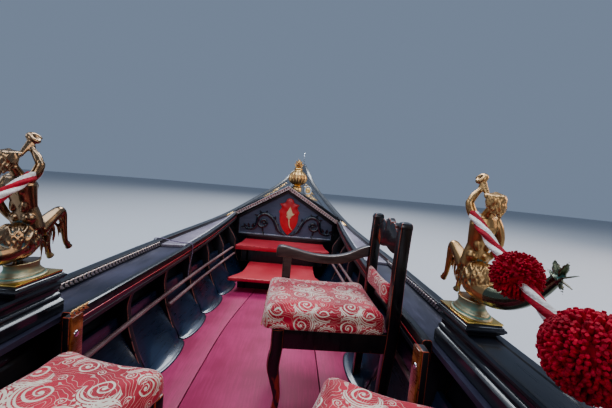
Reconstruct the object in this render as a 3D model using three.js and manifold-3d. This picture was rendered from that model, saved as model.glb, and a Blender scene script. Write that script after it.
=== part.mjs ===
// A rowed canal boat with a flat bottom, two high curved ends, carved fittings and loose seats.
// Millimetres: X runs forward, Y to port, Z up, with the origin at the waterline amidships.
import * as THREE from "three";
import { mergeVertices } from "three/addons/utils/BufferGeometryUtils.js";
import Module from "manifold-3d";

const wasm = await Module();
wasm.setup();

const fit = 0.3; // clearance where two pieces meet
const planking = 18; // side planks
const bottomPlanking = 22;
const hullEnd = 5300; // where the planks stop and the end posts begin
const stationStep = 265;
const rail = { outward: 4, inward: 44, height: 46 };
const sideDeck = { below: 34, thickness: 16 }; // below the rail's top
const coaming = { middle: 515, width: 30, height: 62, aft: 165 };
const bulkheads = { fore: 2450, aft: -2010, thickness: 20 };
const deckThickness = 18;
const ribs = { first: 230, spacing: 320, half: 14 };
const floor = { top: -20, thickness: 18, aft: -1900, fore: 2100 };
const endBend = -150; // both ends lie to starboard of the middle
const halfLength = 5400;

// Hull lines: place, half beam at the sheer, sheer height, half breadth and height of the bottom.
const lines = [
  [-5300, 54, 1170, 34, 925],
  [-5000, 140, 1072, 52, 655],
  [-4500, 278, 868, 98, 368],
  [-4000, 398, 722, 160, 180],
  [-3500, 490, 625, 228, 45],
  [-3000, 560, 545, 290, -55],
  [-2500, 612, 490, 342, -122],
  [-2000, 650, 462, 382, -168],
  [-1000, 698, 446, 428, -210],
  [0, 710, 435, 440, -220],
  [1000, 693, 448, 425, -210],
  [2000, 643, 465, 375, -168],
  [2500, 602, 497, 333, -122],
  [3000, 545, 558, 280, -55],
  [3500, 468, 640, 218, 45],
  [4000, 370, 735, 152, 180],
  [4500, 250, 885, 92, 370],
  [5000, 125, 1095, 50, 660],
  [5300, 52, 1190, 34, 930],
];

// Deck ridges: place and height of the crown.
const foreRidge = [[2450, 782], [3000, 812], [3500, 852], [4000, 908], [4500, 1010], [5000, 1165],
  [5300, 1232]];
const aftRidge = [[-5300, 1205], [-5000, 1120], [-4500, 940], [-4000, 812], [-3500, 722],
  [-3000, 650], [-2010, 560]];
const coamingTop = [[-2010, 424], [165, 420], [1300, 424], [2000, 458], [2450, 497]];

// Smooth value of a table at x: a cubic through its rows.
function smooth(rows, x, index = 1) {
  let i = 0;
  while (i < rows.length - 2 && x > rows[i + 1][0]) i += 1;
  const [x0, x1] = [rows[i][0], rows[i + 1][0]];
  const [v0, v1] = [rows[i][index], rows[i + 1][index]];
  const chord = (v1 - v0) / (x1 - x0);
  const before = i > 0 ? (v1 - rows[i - 1][index]) / (x1 - rows[i - 1][0]) : chord;
  const after = i < rows.length - 2 ? (rows[i + 2][index] - v0) / (rows[i + 2][0] - x0) : chord;
  const t = (x - x0) / (x1 - x0);
  const bend = t * (1 - t) * (x1 - x0) * ((1 - t) * (before - chord) + t * (chord - after));
  return v0 + t * (v1 - v0) + bend;
}

const point = (x, y, z) => new THREE.Vector3(x, y, z);

function range(from, to, step) {
  const count = Math.max(1, Math.round(Math.abs(to - from) / step));
  return Array.from({ length: count + 1 }, (_, i) => from + ((to - from) * i) / count);
}

const hullPlaces = range(-hullEnd, hullEnd, stationStep);
const between = (from, to) => [from, ...hullPlaces.filter((x) => x > from + 1 && x < to - 1), to];

// Runs straight between the hull's stations, so that pieces that end anywhere still match.
function straight(f) {
  const values = hullPlaces.map(f);
  return (x) => {
    const i = Math.min(Math.max(Math.floor((x + hullEnd) / stationStep), 0), values.length - 2);
    return values[i] + ((values[i + 1] - values[i]) * (x - hullPlaces[i])) / stationStep;
  };
}

const column = { beam: 1, sheer: 2, flat: 3, keel: 4 };
const hullLines = Object.fromEntries(
  Object.entries(column).map(([name, index]) => [name, straight((x) => smooth(lines, x, index))]),
);
const hull = (name, x) => hullLines[name](x);
const centre = straight((x) => endBend * Math.abs(x / halfLength) ** 3);

// The half breadth of the outer skin at a share of its height, with a slight swell.
function sideAt(x, share) {
  const [low, high] = [hull("flat", x), hull("beam", x)];
  return low + (high - low) * share + 0.2 * (high - low) * share * (1 - share);
}

function shareOf(x, z) {
  return (z - hull("keel", x)) / (hull("sheer", x) - hull("keel", x));
}

const sideHeights = (x) => [
  hull("keel", x) + bottomPlanking + fit,
  hull("keel", x) + 0.35 * (hull("sheer", x) - hull("keel", x)),
  hull("keel", x) + 0.68 * (hull("sheer", x) - hull("keel", x)),
  hull("sheer", x) - rail.height - fit,
];

// Meshes and solids
const capPlane = { x: (p) => [p.y, p.z], y: (p) => [p.z, p.x], z: (p) => [p.x, p.y] };

function area(flat) {
  return flat.reduce((sum, [a, b], i) => {
    const [c, d] = flat[(i + 1) % flat.length];
    return sum + (a * d - b * c) / 2;
  }, 0);
}

// A closed skin over sections that follow each other along an axis, with flat ends.
function loft(sections, axis = "x") {
  const plane = capPlane[axis];
  const isRising = sections.at(-1)[0][axis] > sections[0][0][axis];
  const ordered = isRising ? sections : [...sections].reverse();
  const isTurned = area(ordered[0].map(plane)) < 0;
  const loops = isTurned ? ordered.map((section) => [...section].reverse()) : ordered;
  const size = loops[0].length;
  const points = loops.flat();
  const faces = [];
  for (let i = 0; i + 1 < loops.length; i += 1) {
    for (let j = 0; j < size; j += 1) {
      const next = (j + 1) % size;
      const [a, b] = [i * size + j, i * size + next];
      const [c, d] = [b + size, a + size];
      if (points[a].distanceTo(points[c]) <= points[b].distanceTo(points[d])) {
        faces.push([a, b, c], [a, c, d]);
      } else {
        faces.push([a, b, d], [b, c, d]);
      }
    }
  }
  for (const [start, outward] of [[0, false], [points.length - size, true]]) {
    const flat = points.slice(start, start + size).map((p) => new THREE.Vector2(...plane(p)));
    const caps = THREE.ShapeUtils.triangulateShape(flat, []);
    if (caps.length !== size - 2) throw new Error("a section has points in one line");
    for (const face of caps) {
      const isLeft = area(face.map((k) => [flat[k].x, flat[k].y])) > 0;
      const [a, b, c] = face.map((k) => k + start);
      faces.push(isLeft === outward ? [a, b, c] : [a, c, b]);
    }
  }
  const geometry = new THREE.BufferGeometry().setFromPoints(points);
  geometry.setIndex(faces.flat());
  return geometry;
}

const lift = {
  x: (at, [y, z]) => point(at, y, z),
  y: (at, [x, z]) => point(x, at, z),
  z: (at, [x, y]) => point(x, y, at),
};

// An outline in the plane across an axis, given thickness from one place to another.
function prism(axis, outline, from, to) {
  return loft([from, to].map((at) => outline.map((pair) => lift[axis](at, pair))), axis);
}

const block = (x0, x1, y0, y1, z0, z1) => prism("z", [[x0, y0], [x1, y0], [x1, y1], [x0, y1]], z0, z1);

// A stick of oblong section whose rows give its middle and half sizes: x, y, z, half, half.
function stick(axis, rows) {
  const spread = { x: ["y", "z"], y: ["x", "z"], z: ["x", "y"] }[axis];
  const corners = [[-1, -1], [1, -1], [1, 1], [-1, 1]];
  const section = ([x, y, z, one, two]) => corners.map(([a, b]) => {
    const p = point(x, y, z);
    p[spread[0]] += a * one;
    p[spread[1]] += b * two;
    return p;
  });
  return loft(rows.map(section), axis);
}

function ball(x, y, z, rx, ry = rx, rz = rx, around = 8, up = 6) {
  return new THREE.SphereGeometry(1, around, up).scale(rx, ry, rz).translate(x, y, z);
}

// A turned piece on an upright axis; its outline starts and ends on the axis.
function turned(outline, x, y, sides = 16) {
  const points = outline.map(([r, z]) => new THREE.Vector2(r, z));
  return new THREE.LatheGeometry(points, sides).rotateX(Math.PI / 2).translate(x, y, 0);
}

// A round bar along a smooth route.
function tube(route, radius, steps, sides = 8) {
  const path = new THREE.CatmullRomCurve3(route.map((p) => point(...p)));
  const section = new THREE.Shape(range(0, sides - 1, 1).map((i) => {
    const angle = (2 * Math.PI * i) / sides;
    return new THREE.Vector2(radius * Math.cos(angle), radius * Math.sin(angle));
  }));
  return new THREE.ExtrudeGeometry(section, { steps, extrudePath: path, bevelEnabled: false });
}

function toSolid(shape) {
  if (!shape.isBufferGeometry) return shape;
  const plain = shape.clone();
  for (const name of Object.keys(plain.attributes)) {
    if (name !== "position") plain.deleteAttribute(name);
  }
  const merged = mergeVertices(plain, 1e-3);
  return new wasm.Manifold(new wasm.Mesh({
    numProp: 3,
    vertProperties: Float32Array.from(merged.attributes.position.array),
    triVerts: Uint32Array.from(merged.index.array),
  }));
}

function toGeometry(solid) {
  const mesh = solid.getMesh();
  const geometry = new THREE.BufferGeometry();
  geometry.setAttribute("position", new THREE.BufferAttribute(mesh.vertProperties, 3));
  geometry.setIndex(new THREE.BufferAttribute(mesh.triVerts, 1));
  return geometry;
}

const join = (shapes) => shapes.map(toSolid).reduce((all, next) => all.add(next));
const cut = (shape, tools) => tools.map(toSolid).reduce((left, tool) => left.subtract(tool),
  toSolid(shape));
const common = (one, two) => toSolid(one).intersect(toSolid(two));

const boat = new THREE.Group();
const finishes = {
  lacquer: { color: 0x0b0c10, roughness: 0.22, metalness: 0 },
  timber: { color: 0x1c1a1c, roughness: 0.6, metalness: 0 },
  pinkFloor: { color: 0xa8325c, roughness: 0.5, metalness: 0 },
  redPaint: { color: 0xc4242c, roughness: 0.45, metalness: 0 },
  greyPaint: { color: 0x3c4456, roughness: 0.4, metalness: 0 },
  deckBoard: { color: 0x6a5660, roughness: 0.45, metalness: 0 },
  varnish: { color: 0x8a4a1c, roughness: 0.35, metalness: 0 },
  walnut: { color: 0x5a3620, roughness: 0.4, metalness: 0 },
  gilt: { color: 0xb08a3c, roughness: 0.35, metalness: 0.9 },
  brass: { color: 0xa8803c, roughness: 0.35, metalness: 1 },
  steel: { color: 0xb8bcc2, roughness: 0.25, metalness: 1 },
  damask: { color: 0xb8283a, roughness: 0.8, metalness: 0 },
  wool: { color: 0xa01424, roughness: 1, metalness: 0 },
};

function add(name, shape, finish, parent = boat) {
  const geometry = shape.isBufferGeometry ? shape : toGeometry(shape);
  const mesh = new THREE.Mesh(geometry, new THREE.MeshStandardMaterial(finishes[finish]));
  mesh.name = name;
  parent.add(mesh);
}

const sides = [["port", 1], ["starboard", -1]];

// Hull skin
function bottom() {
  return loft(hullPlaces.map((x) => {
    const [half, z, y] = [hull("flat", x), hull("keel", x), centre(x)];
    return [[-half, 0], [half, 0], [half, bottomPlanking], [-half, bottomPlanking]]
      .map(([across, up]) => point(x, y + across, z + up));
  }));
}

function sidePlanks(hand) {
  return loft(hullPlaces.map((x) => {
    const outer = sideHeights(x).map((z) => [sideAt(x, shareOf(x, z)), z]);
    const inner = outer.map(([y, z]) => [y - planking, z]).reverse();
    return [...outer, ...inner].map(([y, z]) => point(x, centre(x) + hand * y, z));
  }));
}

// The posts fill the hull's full section beyond the planks and narrow to an edge.
function endPost(way) {
  const stations = [[hullEnd + fit, 0, 1], [hullEnd + 60, 55, 0.75], [halfLength, 150, 0.45]];
  return loft(stations.map(([far, rise, share]) => {
    const end = way * hullEnd;
    const [keel, sheer] = [hull("keel", end) + rise, hull("sheer", end) + (far - hullEnd) * 0.3];
    const widths = [[hull("flat", end), keel], [hull("beam", end), sheer]];
    const outline = [...widths, ...widths.map(([y, z]) => [-y, z]).reverse()];
    return outline.map(([y, z]) => point(way * far, centre(way * far) + share * y, z));
  }));
}

function gunwale(hand) {
  return loft(hullPlaces.map((x) => {
    const [half, z] = [hull("beam", x), hull("sheer", x)];
    const inward = Math.min(rail.inward, half - 8);
    const outline = [
      [half + rail.outward, z - rail.height],
      [half + rail.outward, z - 10],
      [half - 8, z],
      [half - inward + 6, z],
      [half - inward, z - 6],
      [half - inward, z - rail.height],
    ];
    return outline.map(([y, up]) => point(x, centre(x) + hand * y, up));
  }));
}

// Decks: each gives its upper face as half breadths and heights, from the rail inwards.
const coamingAt = straight((x) => smooth(coamingTop, x));
const coamingMiddle = (x) => Math.min(coaming.middle, hull("beam", x) - rail.inward - 36);
const crowns = { fore: straight((x) => smooth(foreRidge, x)), aft: straight((x) => smooth(aftRidge, x)) };

function sideDeckTop(x) {
  const inner = coamingMiddle(x) + coaming.width / 2 + fit;
  return [[hull("beam", x) - rail.inward - fit, hull("sheer", x) - sideDeck.below],
    [inner, coamingAt(x) - 12]];
}

function crownTop(end, x) {
  const [half, edge, crown] = [hull("beam", x) - rail.inward - fit, hull("sheer", x) - 10, crowns[end](x)];
  const width = Math.max(half, 2);
  return [[width, edge], [width * 0.45, edge + (crown - edge) * 0.62], [0, crown]];
}

function sideDeckBoard(hand) {
  return loft(between(bulkheads.aft + fit, bulkheads.fore - fit).map((x) => {
    const top = sideDeckTop(x);
    const under = top.map(([y, z]) => [y, z - sideDeck.thickness]).reverse();
    return [...top, ...under].map(([y, z]) => point(x, centre(x) + hand * y, z));
  }));
}

function crownedDeck(end, from, to) {
  return loft(between(from, to).map((x) => {
    const top = crownTop(end, x);
    const whole = [...top, ...top.slice(0, -1).map(([y, z]) => [-y, z]).reverse()];
    const under = whole.map(([y, z]) => [y, z - deckThickness]).reverse();
    return [...whole, ...under].map(([y, z]) => point(x, centre(x) + y, z));
  }));
}

function coamingRail(hand) {
  return loft(between(coaming.aft, bulkheads.fore - 60).map((x) => {
    const [middle, half, top] = [coamingMiddle(x), coaming.width / 2, coamingAt(x)];
    const outline = [
      [middle - half, top - coaming.height],
      [middle - half, top - 6],
      [middle - half + 6, top],
      [middle + half - 6, top],
      [middle + half, top - 6],
      [middle + half, top - coaming.height],
    ];
    return outline.map(([y, z]) => point(x, centre(x) + hand * y, z));
  }));
}

// The space inside the planks, under whatever deck is above it.
function hold(from, to, topAt) {
  return loft(range(-hullEnd, hullEnd, stationStep).filter((x) => x >= from - stationStep && x <= to + stationStep)
    .map((x) => {
      const side = sideHeights(x).map((z) => [sideAt(x, shareOf(x, z)) - planking - fit, z]);
      side[3][1] -= fit;
      const half = [...side, ...topAt(x)];
      const whole = [...half, ...half.map(([y, z]) => [-y, z]).reverse()];
      return whole.map(([y, z]) => point(x, centre(x) + y, z));
    }));
}

const underCrown = (end) => (x) => [
  [hull("beam", x) - rail.inward - 2 * fit, hull("sheer", x) - rail.height - 3 * fit],
  ...crownTop(end, x).map(([y, z], i) => [i === 0 ? y - 2 * fit : Math.max(y, 1), z - deckThickness - 2]),
];
const underSideDeck = (x) => {
  const [outer, inner] = sideDeckTop(x);
  return [
    [outer[0] + 2 * fit, outer[1] - sideDeck.thickness - 4 * fit],
    [inner[0] + fit, inner[1] - sideDeck.thickness - 4 * fit],
    [inner[0] + 2 * fit, coamingAt(x) - coaming.height - fit],
  ];
};

const holds = {
  fore: hold(bulkheads.fore, 4500, underCrown("fore")),
  middle: hold(bulkheads.aft, bulkheads.fore, underSideDeck),
  aft: hold(-4600, bulkheads.aft, underCrown("aft")),
};

// Ribs
const innerHalf = (x, z) => sideAt(x, shareOf(x, z)) - planking;
const footAt = (x) => innerHalf(x, floor.top) - 52;
const floorUnder = floor.top - floor.thickness;
const battenAt = (x) => innerHalf(x, 215) - 70; // the ribs' inner edge at the upper batten

function openRib(x) {
  const z = floorUnder - fit;
  const inside = [
    [coamingMiddle(x) + 8, coamingAt(x) + 60],
    [coamingMiddle(x) + 8, coamingAt(x) - coaming.height - 30],
    [battenAt(x), 240],
    [battenAt(x) - 6, 190],
    [battenAt(x) - 44, 90],
    [footAt(x) + 14, 0],
    [footAt(x), z],
  ];
  const opening = [...inside, ...inside.map(([y, up]) => [-y, up]).reverse()];
  const shifted = opening.map(([y, up]) => [centre(x) + y, up]);
  return cut(block(x - ribs.half, x + ribs.half, -800, 800, -400, 600), [
    prism("x", shifted, x - ribs.half - 5, x + ribs.half + 5),
  ]);
}

// A rib under a closed deck, open in the middle.
function closedRib(x, end) {
  const [low, edge, crown] = [hull("keel", x) + bottomPlanking, hull("sheer", x), crowns[end](x)];
  const half = [low + 55, (low + edge) / 2, edge - 75].map((z) => [innerHalf(x, z) - 42, z]);
  const opening = [...half, [0, crown - 80], ...half.map(([y, z]) => [-y, z]).reverse()]
    .map(([y, z]) => [centre(x) + y, z]);
  return cut(block(x - ribs.half, x + ribs.half, -800, 800, -400, 1400), [
    prism("x", opening, x - ribs.half - 5, x + ribs.half + 5),
  ]);
}

function keelTimber(grow = 0) {
  return loft(hullPlaces.filter((x) => Math.abs(x) < 4800).map((x) => {
    const z = hull("keel", x) + bottomPlanking + fit - grow;
    const [half, high] = [28 + grow, 48 + 2 * grow];
    return [[-half, 0], [half, 0], [half, high], [-half, high]]
      .map(([y, up]) => point(x, centre(x) + y, z + up));
  }));
}

// Thin battens that lie on the ribs' inner edges: places, distance inboard of the upper edge, height.
const battens = [
  { from: 235, to: 2060, inboard: 6, height: 218 },
  { from: 855, to: 2060, inboard: 24, height: 166 },
];

function batten({ from, to, inboard, height }, hand) {
  return stick("x", between(from, to).map((x) => [x, centre(x) + hand * (battenAt(x) - inboard),
    height, 11, 8]));
}

// The keel timber and the frames under the closed decks
function frames() {
  const fore = [3110, 3750, 4390].map((x) => common(closedRib(x, "fore"), holds.fore));
  const aft = [-4570, -3930, -3290, -2650].map((x) => common(closedRib(x, "aft"), holds.aft));
  return join([...fore, ...aft, keelTimber()]);
}

// The cockpit's ribs lie over the keel timber and carry two bearers for the floor.
const bearer = { middle: 150, half: 15, depth: 24 };

function ribRow(from, to, rods = []) {
  const open = range(from, to, ribs.spacing).map((x) => common(openRib(x), holds.middle));
  const high = floorUnder - fit;
  const bearers = [1, -1].map((hand) => stick("x", [from - ribs.half, to + ribs.half]
    .map((x) => [x, hand * bearer.middle, high - bearer.depth / 2, bearer.half, bearer.depth / 2])));
  return cut(join([...open, ...bearers, ...rods]), [keelTimber(fit)]);
}

// Floor: a middle board and two side boards with a scalloped edge, then a dark margin with tongues.
const seamAt = (x) => smooth([[-1900, 215], [-900, 258], [900, 258], [1730, 170], [2100, 140]], x);
const cuspStep = ribs.spacing;
const tongue = 46;
const seamGap = 1.5;

function scallopAt(x) {
  const phase = (((x - ribs.first) % cuspStep) + cuspStep) % cuspStep / cuspStep;
  return footAt(x) - 14 - tongue * Math.sqrt(Math.max(0, 1 - (2 * phase - 1) ** 2));
}

const scallopPlaces = [floor.aft, ...range(-1850, 2070, cuspStep / 6), floor.fore];
const seamPlaces = [floor.aft, -900, 900, 1730, floor.fore];
const footPlaces = [floor.aft, -1000, 0, 1000, 1500, floor.fore];

// A board between two edges, each given as places along the boat and a half breadth.
function floorBoard([innerPlaces, inner], [outerPlaces, outer]) {
  const edge = (places, f) => places.map((x) => [x, centre(x) + f(x)]);
  return prism("z", [...edge(innerPlaces, inner), ...edge(outerPlaces, outer).reverse()], floorUnder,
    floor.top);
}

// Steps up to the fore deck
const lowerStep = { top: 90, thickness: 24, nose: 1596, riser: 1705, back: 2150, half: 376 };
const upperStep = { top: 235, thickness: 40, nose: 2080, riser: 2100, back: bulkheads.fore - fit,
  half: 430 };

function tread({ top, thickness, nose, back, half }) {
  const bite = [[nose, half], [nose + 40, half - 20], [nose + 110, half - 78], [nose + 190, half - 92],
    [nose + 270, half - 70], [Math.min(nose + 330, back), half - 20], [back, half - 20]];
  const outline = [...bite, ...bite.map(([x, y]) => [x, -y]).reverse()];
  return prism("z", outline, top - thickness, top);
}

function riser({ top, thickness, riser: at, back, half }, standsOn) {
  const [low, high] = [standsOn + fit, top - thickness - fit];
  const cheeks = [1, -1].map((hand) => block(at, back - 20, hand * (half - 125), hand * (half - 107),
    low, high));
  const front = block(at, at + 16, 60 - half, half - 60, low, high);
  return join([front, ...cheeks.map(rightWay)]);
}

// A block given with its sides swapped is turned the right way out.
function rightWay(geometry) {
  const box = new THREE.Box3().setFromBufferAttribute(geometry.attributes.position);
  return block(box.min.x, box.max.x, box.min.y, box.max.y, box.min.z, box.max.z);
}

// Pediment: a gabled panel across the front of the cockpit, under a projecting cornice.
const gable = { eaves: 470, eavesZ: 455, apexZ: 738, bottomZ: -40 };

function bulkheadFore() {
  const outline = [[-620, gable.bottomZ], [620, gable.bottomZ], [620, 470], [0, 775], [-620, 470]];
  return common(prism("x", outline, bulkheads.fore, bulkheads.fore + bulkheads.thickness), holds.fore);
}

function cornice() {
  const outer = [[-512, 497], [0, 800], [512, 497]];
  const inner = [[512, 455], [0, 757], [-512, 455]];
  return prism("x", [...outer, ...inner], bulkheads.fore - 58, bulkheads.fore - fit);
}

function shield() {
  const half = [[0, 298], [58, 350], [92, 430], [104, 520], [84, 590], [62, 600], [60, 640],
    [32, 660], [0, 679]];
  const outline = [...half, ...half.slice(1, -1).map(([y, z]) => [-y, z]).reverse()];
  return prism("x", outline.map(([y, z]) => [y - 25, z]), bulkheads.fore - 16, bulkheads.fore - fit);
}

function bulkheadAft() {
  const outline = [[-640, -80], [640, -80], [640, 500], [0, 530], [-640, 500]];
  return common(prism("x", outline, bulkheads.aft - bulkheads.thickness, bulkheads.aft), holds.aft);
}

// Everything above a crowned deck, to stand a piece on its slopes.
function belowDeck(end, from, to) {
  return loft(range(-hullEnd, hullEnd, stationStep).filter((x) => x >= from - stationStep && x <= to + stationStep)
    .map((x) => {
      const top = crownTop(end, x).map(([y, z]) => [y, z + fit]);
      const whole = [...top, ...top.slice(0, -1).map(([y, z]) => [-y, z]).reverse()];
      return [...whole, [-whole[0][0], -400], [whole[0][0], -400]]
        .map(([y, z]) => point(x, centre(x) + y, z));
    }));
}

// Stern platform: the flat board on which the rower stands.
const platform = { from: -3650, to: -3050, half: 200, top: 800, thickness: 22 };

function sternPlatform() {
  const { from, to, half, top, thickness } = platform;
  const board = block(from, to, -half, half, top - thickness, top);
  const bearers = [from + 40, to - 80].map((x) => block(x, x + 40, -half + 20, half - 20, 500,
    top - thickness));
  return cut(join([board, ...bearers]), [belowDeck("aft", from, to)]);
}

// Bow iron: a thin blade that follows the stem, with six teeth forward, a bent neck and a broad head.
const blade = { half: 6, face: halfLength + fit, tooth: { first: 838, pitch: 56, root: 5468, tip: 5588 } };
const ironMiddle = centre(halfLength);

function bowIron() {
  const { face, tooth } = blade;
  const teeth = range(0, 5, 1).flatMap((i) => {
    const z = tooth.first + i * tooth.pitch;
    return [[tooth.root, z], [tooth.tip, z + 4], [tooth.tip, z + 29], [tooth.root, z + 33]];
  });
  const front = [[5040, 640], [5130, 700], [5250, 758], [5360, 770], [5440, 795], ...teeth, [5462, 1172],
    [5448, 1205], [5462, 1242], [5520, 1285], [5580, 1310], [5612, 1350], [5585, 1395], [5500, 1432],
    [5425, 1430]];
  const keelAt = (x) => hull("keel", x) - 2 * fit;
  const back = [[5370, 1400], [5350, 1340], [5368, 1275], [face, 1232], [face, hull("keel", hullEnd) + 150],
    [hullEnd + 61, hull("keel", hullEnd) + 54], [hullEnd, keelAt(hullEnd)],
    [hullPlaces.at(-2), keelAt(hullPlaces.at(-2))]];
  return prism("y", [...front, ...back], ironMiddle - blade.half, ironMiddle + blade.half);
}

function sternIron() {
  const { face } = blade;
  const outline = [[-face, 1090], [-face, 1215], [-5420, 1290], [-5465, 1330], [-5500, 1310], [-5488, 1270],
    [-5462, 1276], [-5442, 1250], [-5440, 1180], [-5436, 1100]];
  return prism("y", outline, ironMiddle - blade.half, ironMiddle + blade.half);
}

// Oarlock and oar: the shaft bears on a ridge round the middle of the lock's throat
const lock = { x: -2900, half: 15, throat: 34, throatFace: 44, height: 950,
  yaw: THREE.MathUtils.degToRad(25) };
lock.y = centre(lock.x) - (hull("beam", lock.x) - rail.inward - 68);

function oarlock() {
  const outline = (throat) => {
    const arc = range(200, 430, 11.5).map((degrees) => {
      const angle = THREE.MathUtils.degToRad(degrees);
      return [throat * Math.cos(angle), throat * Math.sin(angle)];
    });
    return [[-48, -30], ...arc, [20, 64], [54, 54], [86, 10], [82, -60], [60, -150], [78, -250], [52, -300],
      [44, -372], [-44, -372], [-40, -300], [-22, -210], [-34, -120], [-70, -66], [-76, -34]];
  };
  const sections = [[-lock.half, lock.throatFace], [0, lock.throat], [lock.half, lock.throatFace]];
  return loft(sections.map(([y, throat]) => outline(throat).map(([x, z]) => point(x, y, z))), "y")
    .rotateZ(-lock.yaw).translate(lock.x, lock.y, lock.height);
}

function lockBlock() {
  const { x, y } = lock;
  const base = block(x - 130, x + 130, y - 42, y + 42, 500, 640);
  const hole = oarlock().clone();
  const swept = toSolid(hole);
  const spread = [[fit, 0], [-fit, 0], [0, fit], [0, -fit]].map(([dx, dy]) => swept.translate([dx, dy, 0]));
  return cut(base, [belowDeck("aft", x - 200, x + 200), ...spread]);
}

const oar = { inboard: 1300, outboard: 2900, grip: 19, loom: 22.5, tilt: THREE.MathUtils.degToRad(21),
  drop: 8.3 };

function oarShape() {
  const ring = (x, ry, rz) => range(0, 9, 1).map((i) => {
    const angle = (2 * Math.PI * i) / 10;
    return point(x, ry * Math.cos(angle), rz * Math.sin(angle));
  });
  const { inboard, outboard, grip, loom } = oar;
  const rows = [[-outboard, 60, 7], [-outboard + 60, 80, 9], [-outboard + 900, 74, 13],
    [-outboard + 1300, 30, 24],
    [-outboard + 1600, 24, 24], [-120, loom, loom], [120, loom, loom], [inboard - 60, grip, grip],
    [inboard - 8, grip, grip], [inboard, grip - 7, grip - 7]];
  return loft(rows.map(([x, ry, rz]) => ring(x, ry, rz)))
    .rotateY(-oar.tilt).rotateZ(Math.PI / 2 - lock.yaw).translate(lock.x, lock.y, lock.height - oar.drop);
}

// Side mouldings beside the passengers, and the figures' plinths on their fore ends
const moulding = { from: hullPlaces[13], to: 200, rise: 62, width: 116 };

function sideMoulding(hand) {
  return loft(between(moulding.from, moulding.to).map((x) => {
    const [out, sheer] = [hull("beam", x) - rail.inward - 2 * fit, hull("sheer", x)];
    const [[deckOut, outZ], [deckIn, inZ]] = sideDeckTop(x);
    const low = (y) => outZ + ((inZ - outZ) * (deckOut - y)) / (deckOut - deckIn) + 4 * fit;
    const inner = out - moulding.width;
    const outline = [[out, low(out)], [out, sheer + 8], [out - 12, sheer + 14],
      [out - 12, sheer + moulding.rise],
      [out - 104, sheer + moulding.rise], [out - 104, sheer + 14], [inner, sheer + 6], [inner, low(inner)]];
    return outline.map(([y, z]) => point(x, centre(x) + hand * y, z));
  }));
}

const plinth = { from: 40, to: 206, middle: 600, half: 54, low: hull("sheer", 0) + moulding.rise - 2 };

function plinthBlock(hand) {
  const { from, to, middle, half, low } = plinth;
  const foot = block(from + 12, 199, hand * middle - half + 10, hand * middle + half - 10, low, low + 14);
  const cap = block(from, to, hand * middle - half, hand * middle + half, low + 14, low + 32);
  return join([foot, cap]);
}

const plinthTop = plinth.low + 32;

function brassPlate(hand) {
  const { from, to, middle, half } = plinth;
  const y = hand * middle;
  return block(from + 10, to - 10, y - half + 8, y + half - 8, plinthTop + fit, plinthTop + 5);
}

// The figure: a rider's trunk on a sea beast, forelegs raised ahead, fish tail curling up behind.
function figure(hand) {
  const y = hand * plinth.middle;
  const out = y + hand * 14;
  const base = plinthTop + 4;
  const inn = (distance) => y - hand * distance;
  const foot = turned([[0, base], [52, base], [52, base + 7], [44, base + 9], [44, base + 15],
    [38, base + 22], [34, base + 32],
    [36, base + 42], [0, base + 42]], 0, 0, 12).scale(1.3, 0.86, 1).translate(118, y, 0);
  const limbs = [
    brassPlate(hand),
    tube([[128, y, base + 24], [140, y, 630], [150, y, 665], [120, y, 690]], 30, 4),
    tube([[145, y, 640], [190, inn(10), 674], [222, inn(12), 694], [236, inn(12), 660], [254, inn(12), 590]],
      12, 6, 6),
    tube([[145, y, 625], [184, out, 638], [204, out, 620], [224, out, 562]], 11, 5, 6),
    tube([[115, y, 620], [50, y, 606], [-10, out, 618], [-60, out, 640], [-98, out, 668],
      [-125, out, 700]], 20, 7, 7),
    tube([[120, y, 680], [112, y, 740], [104, y, 800]], 31, 3),
    tube([[104, y, 800], [86, y, 830]], 15, 1, 6),
    tube([[114, inn(23), 788], [116, inn(37), 830], [130, inn(4), 864]], 10, 5, 6),
    tube([[98, y + hand * 23, 784], [94, y + hand * 37, 722], [116, y + hand * 28, 678]], 10, 5, 6),
    tube([[112, y, 838], [134, y, 872], [146, y, 904]], 15, 2, 6),
  ];
  return join([foot, ...limbs, ball(70, y, 842, 34, 28, 36), ball(106, y, 632, 60, 33, 48),
    ball(-142, out + hand * 12, 712, 24, 28, 30)]);
}

// Ropes with wool balls, from the figures' necks to the arms of the main seat
const rope = { radius: 13, steps: 26 };
const ropeRoute = [
  [92.2, 561.5, 799.3], [70, 556, 790], [40, 551, 776], [4, 548, 758], [-31, 544, 739], [-75, 541, 719.5],
  [-118, 538, 700.5], [-161, 535, 681.5], [-200, 533.5, 665], [-239, 534.5, 651], [-281, 536, 637.5],
  [-322, 537.5, 625], [-366, 538.8, 611.4], [-410, 541, 602], [-480, 543, 594], [-560, 546, 591],
  [-650, 549, 593],
  [-740, 553, 599], [-830, 559, 607], [-900, 562, 612], [-975.7, 562, 612],
];
const woolBalls = [[-118, 46, 1.2], [-288, 63, 1.8]];

const ropeCurve = (hand) => new THREE.CatmullRomCurve3(ropeRoute.map(([x, y, z]) => point(x, hand * y, z)));

// A ball with a hole for the rope, turned along it. Each row: place along x, radius, slack round the rope.
function woolBall([x, radius, slack], hand) {
  const curve = ropeCurve(hand);
  const samples = curve.getPoints(400);
  const nearest = samples.reduce((best, p,
    i) => (Math.abs(p.x - x) < Math.abs(samples[best].x - x) ? i : best), 0);
  const along = samples[nearest + 1].clone().sub(samples[nearest - 1]).normalize();
  const hole = rope.radius + slack;
  const start = Math.asin(hole / radius);
  const arc = range(0, 8, 1).map((i) => {
    const angle = start + ((Math.PI - 2 * start) * i) / 8;
    return new THREE.Vector2(radius * Math.sin(angle), radius * Math.cos(angle));
  });
  const lathe = new THREE.LatheGeometry([...arc, arc[0]].reverse(), 12);
  const turn = new THREE.Quaternion().setFromUnitVectors(point(0, 1, 0), along);
  return lathe.applyQuaternion(turn).translate(...samples[nearest].toArray());
}

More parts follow.
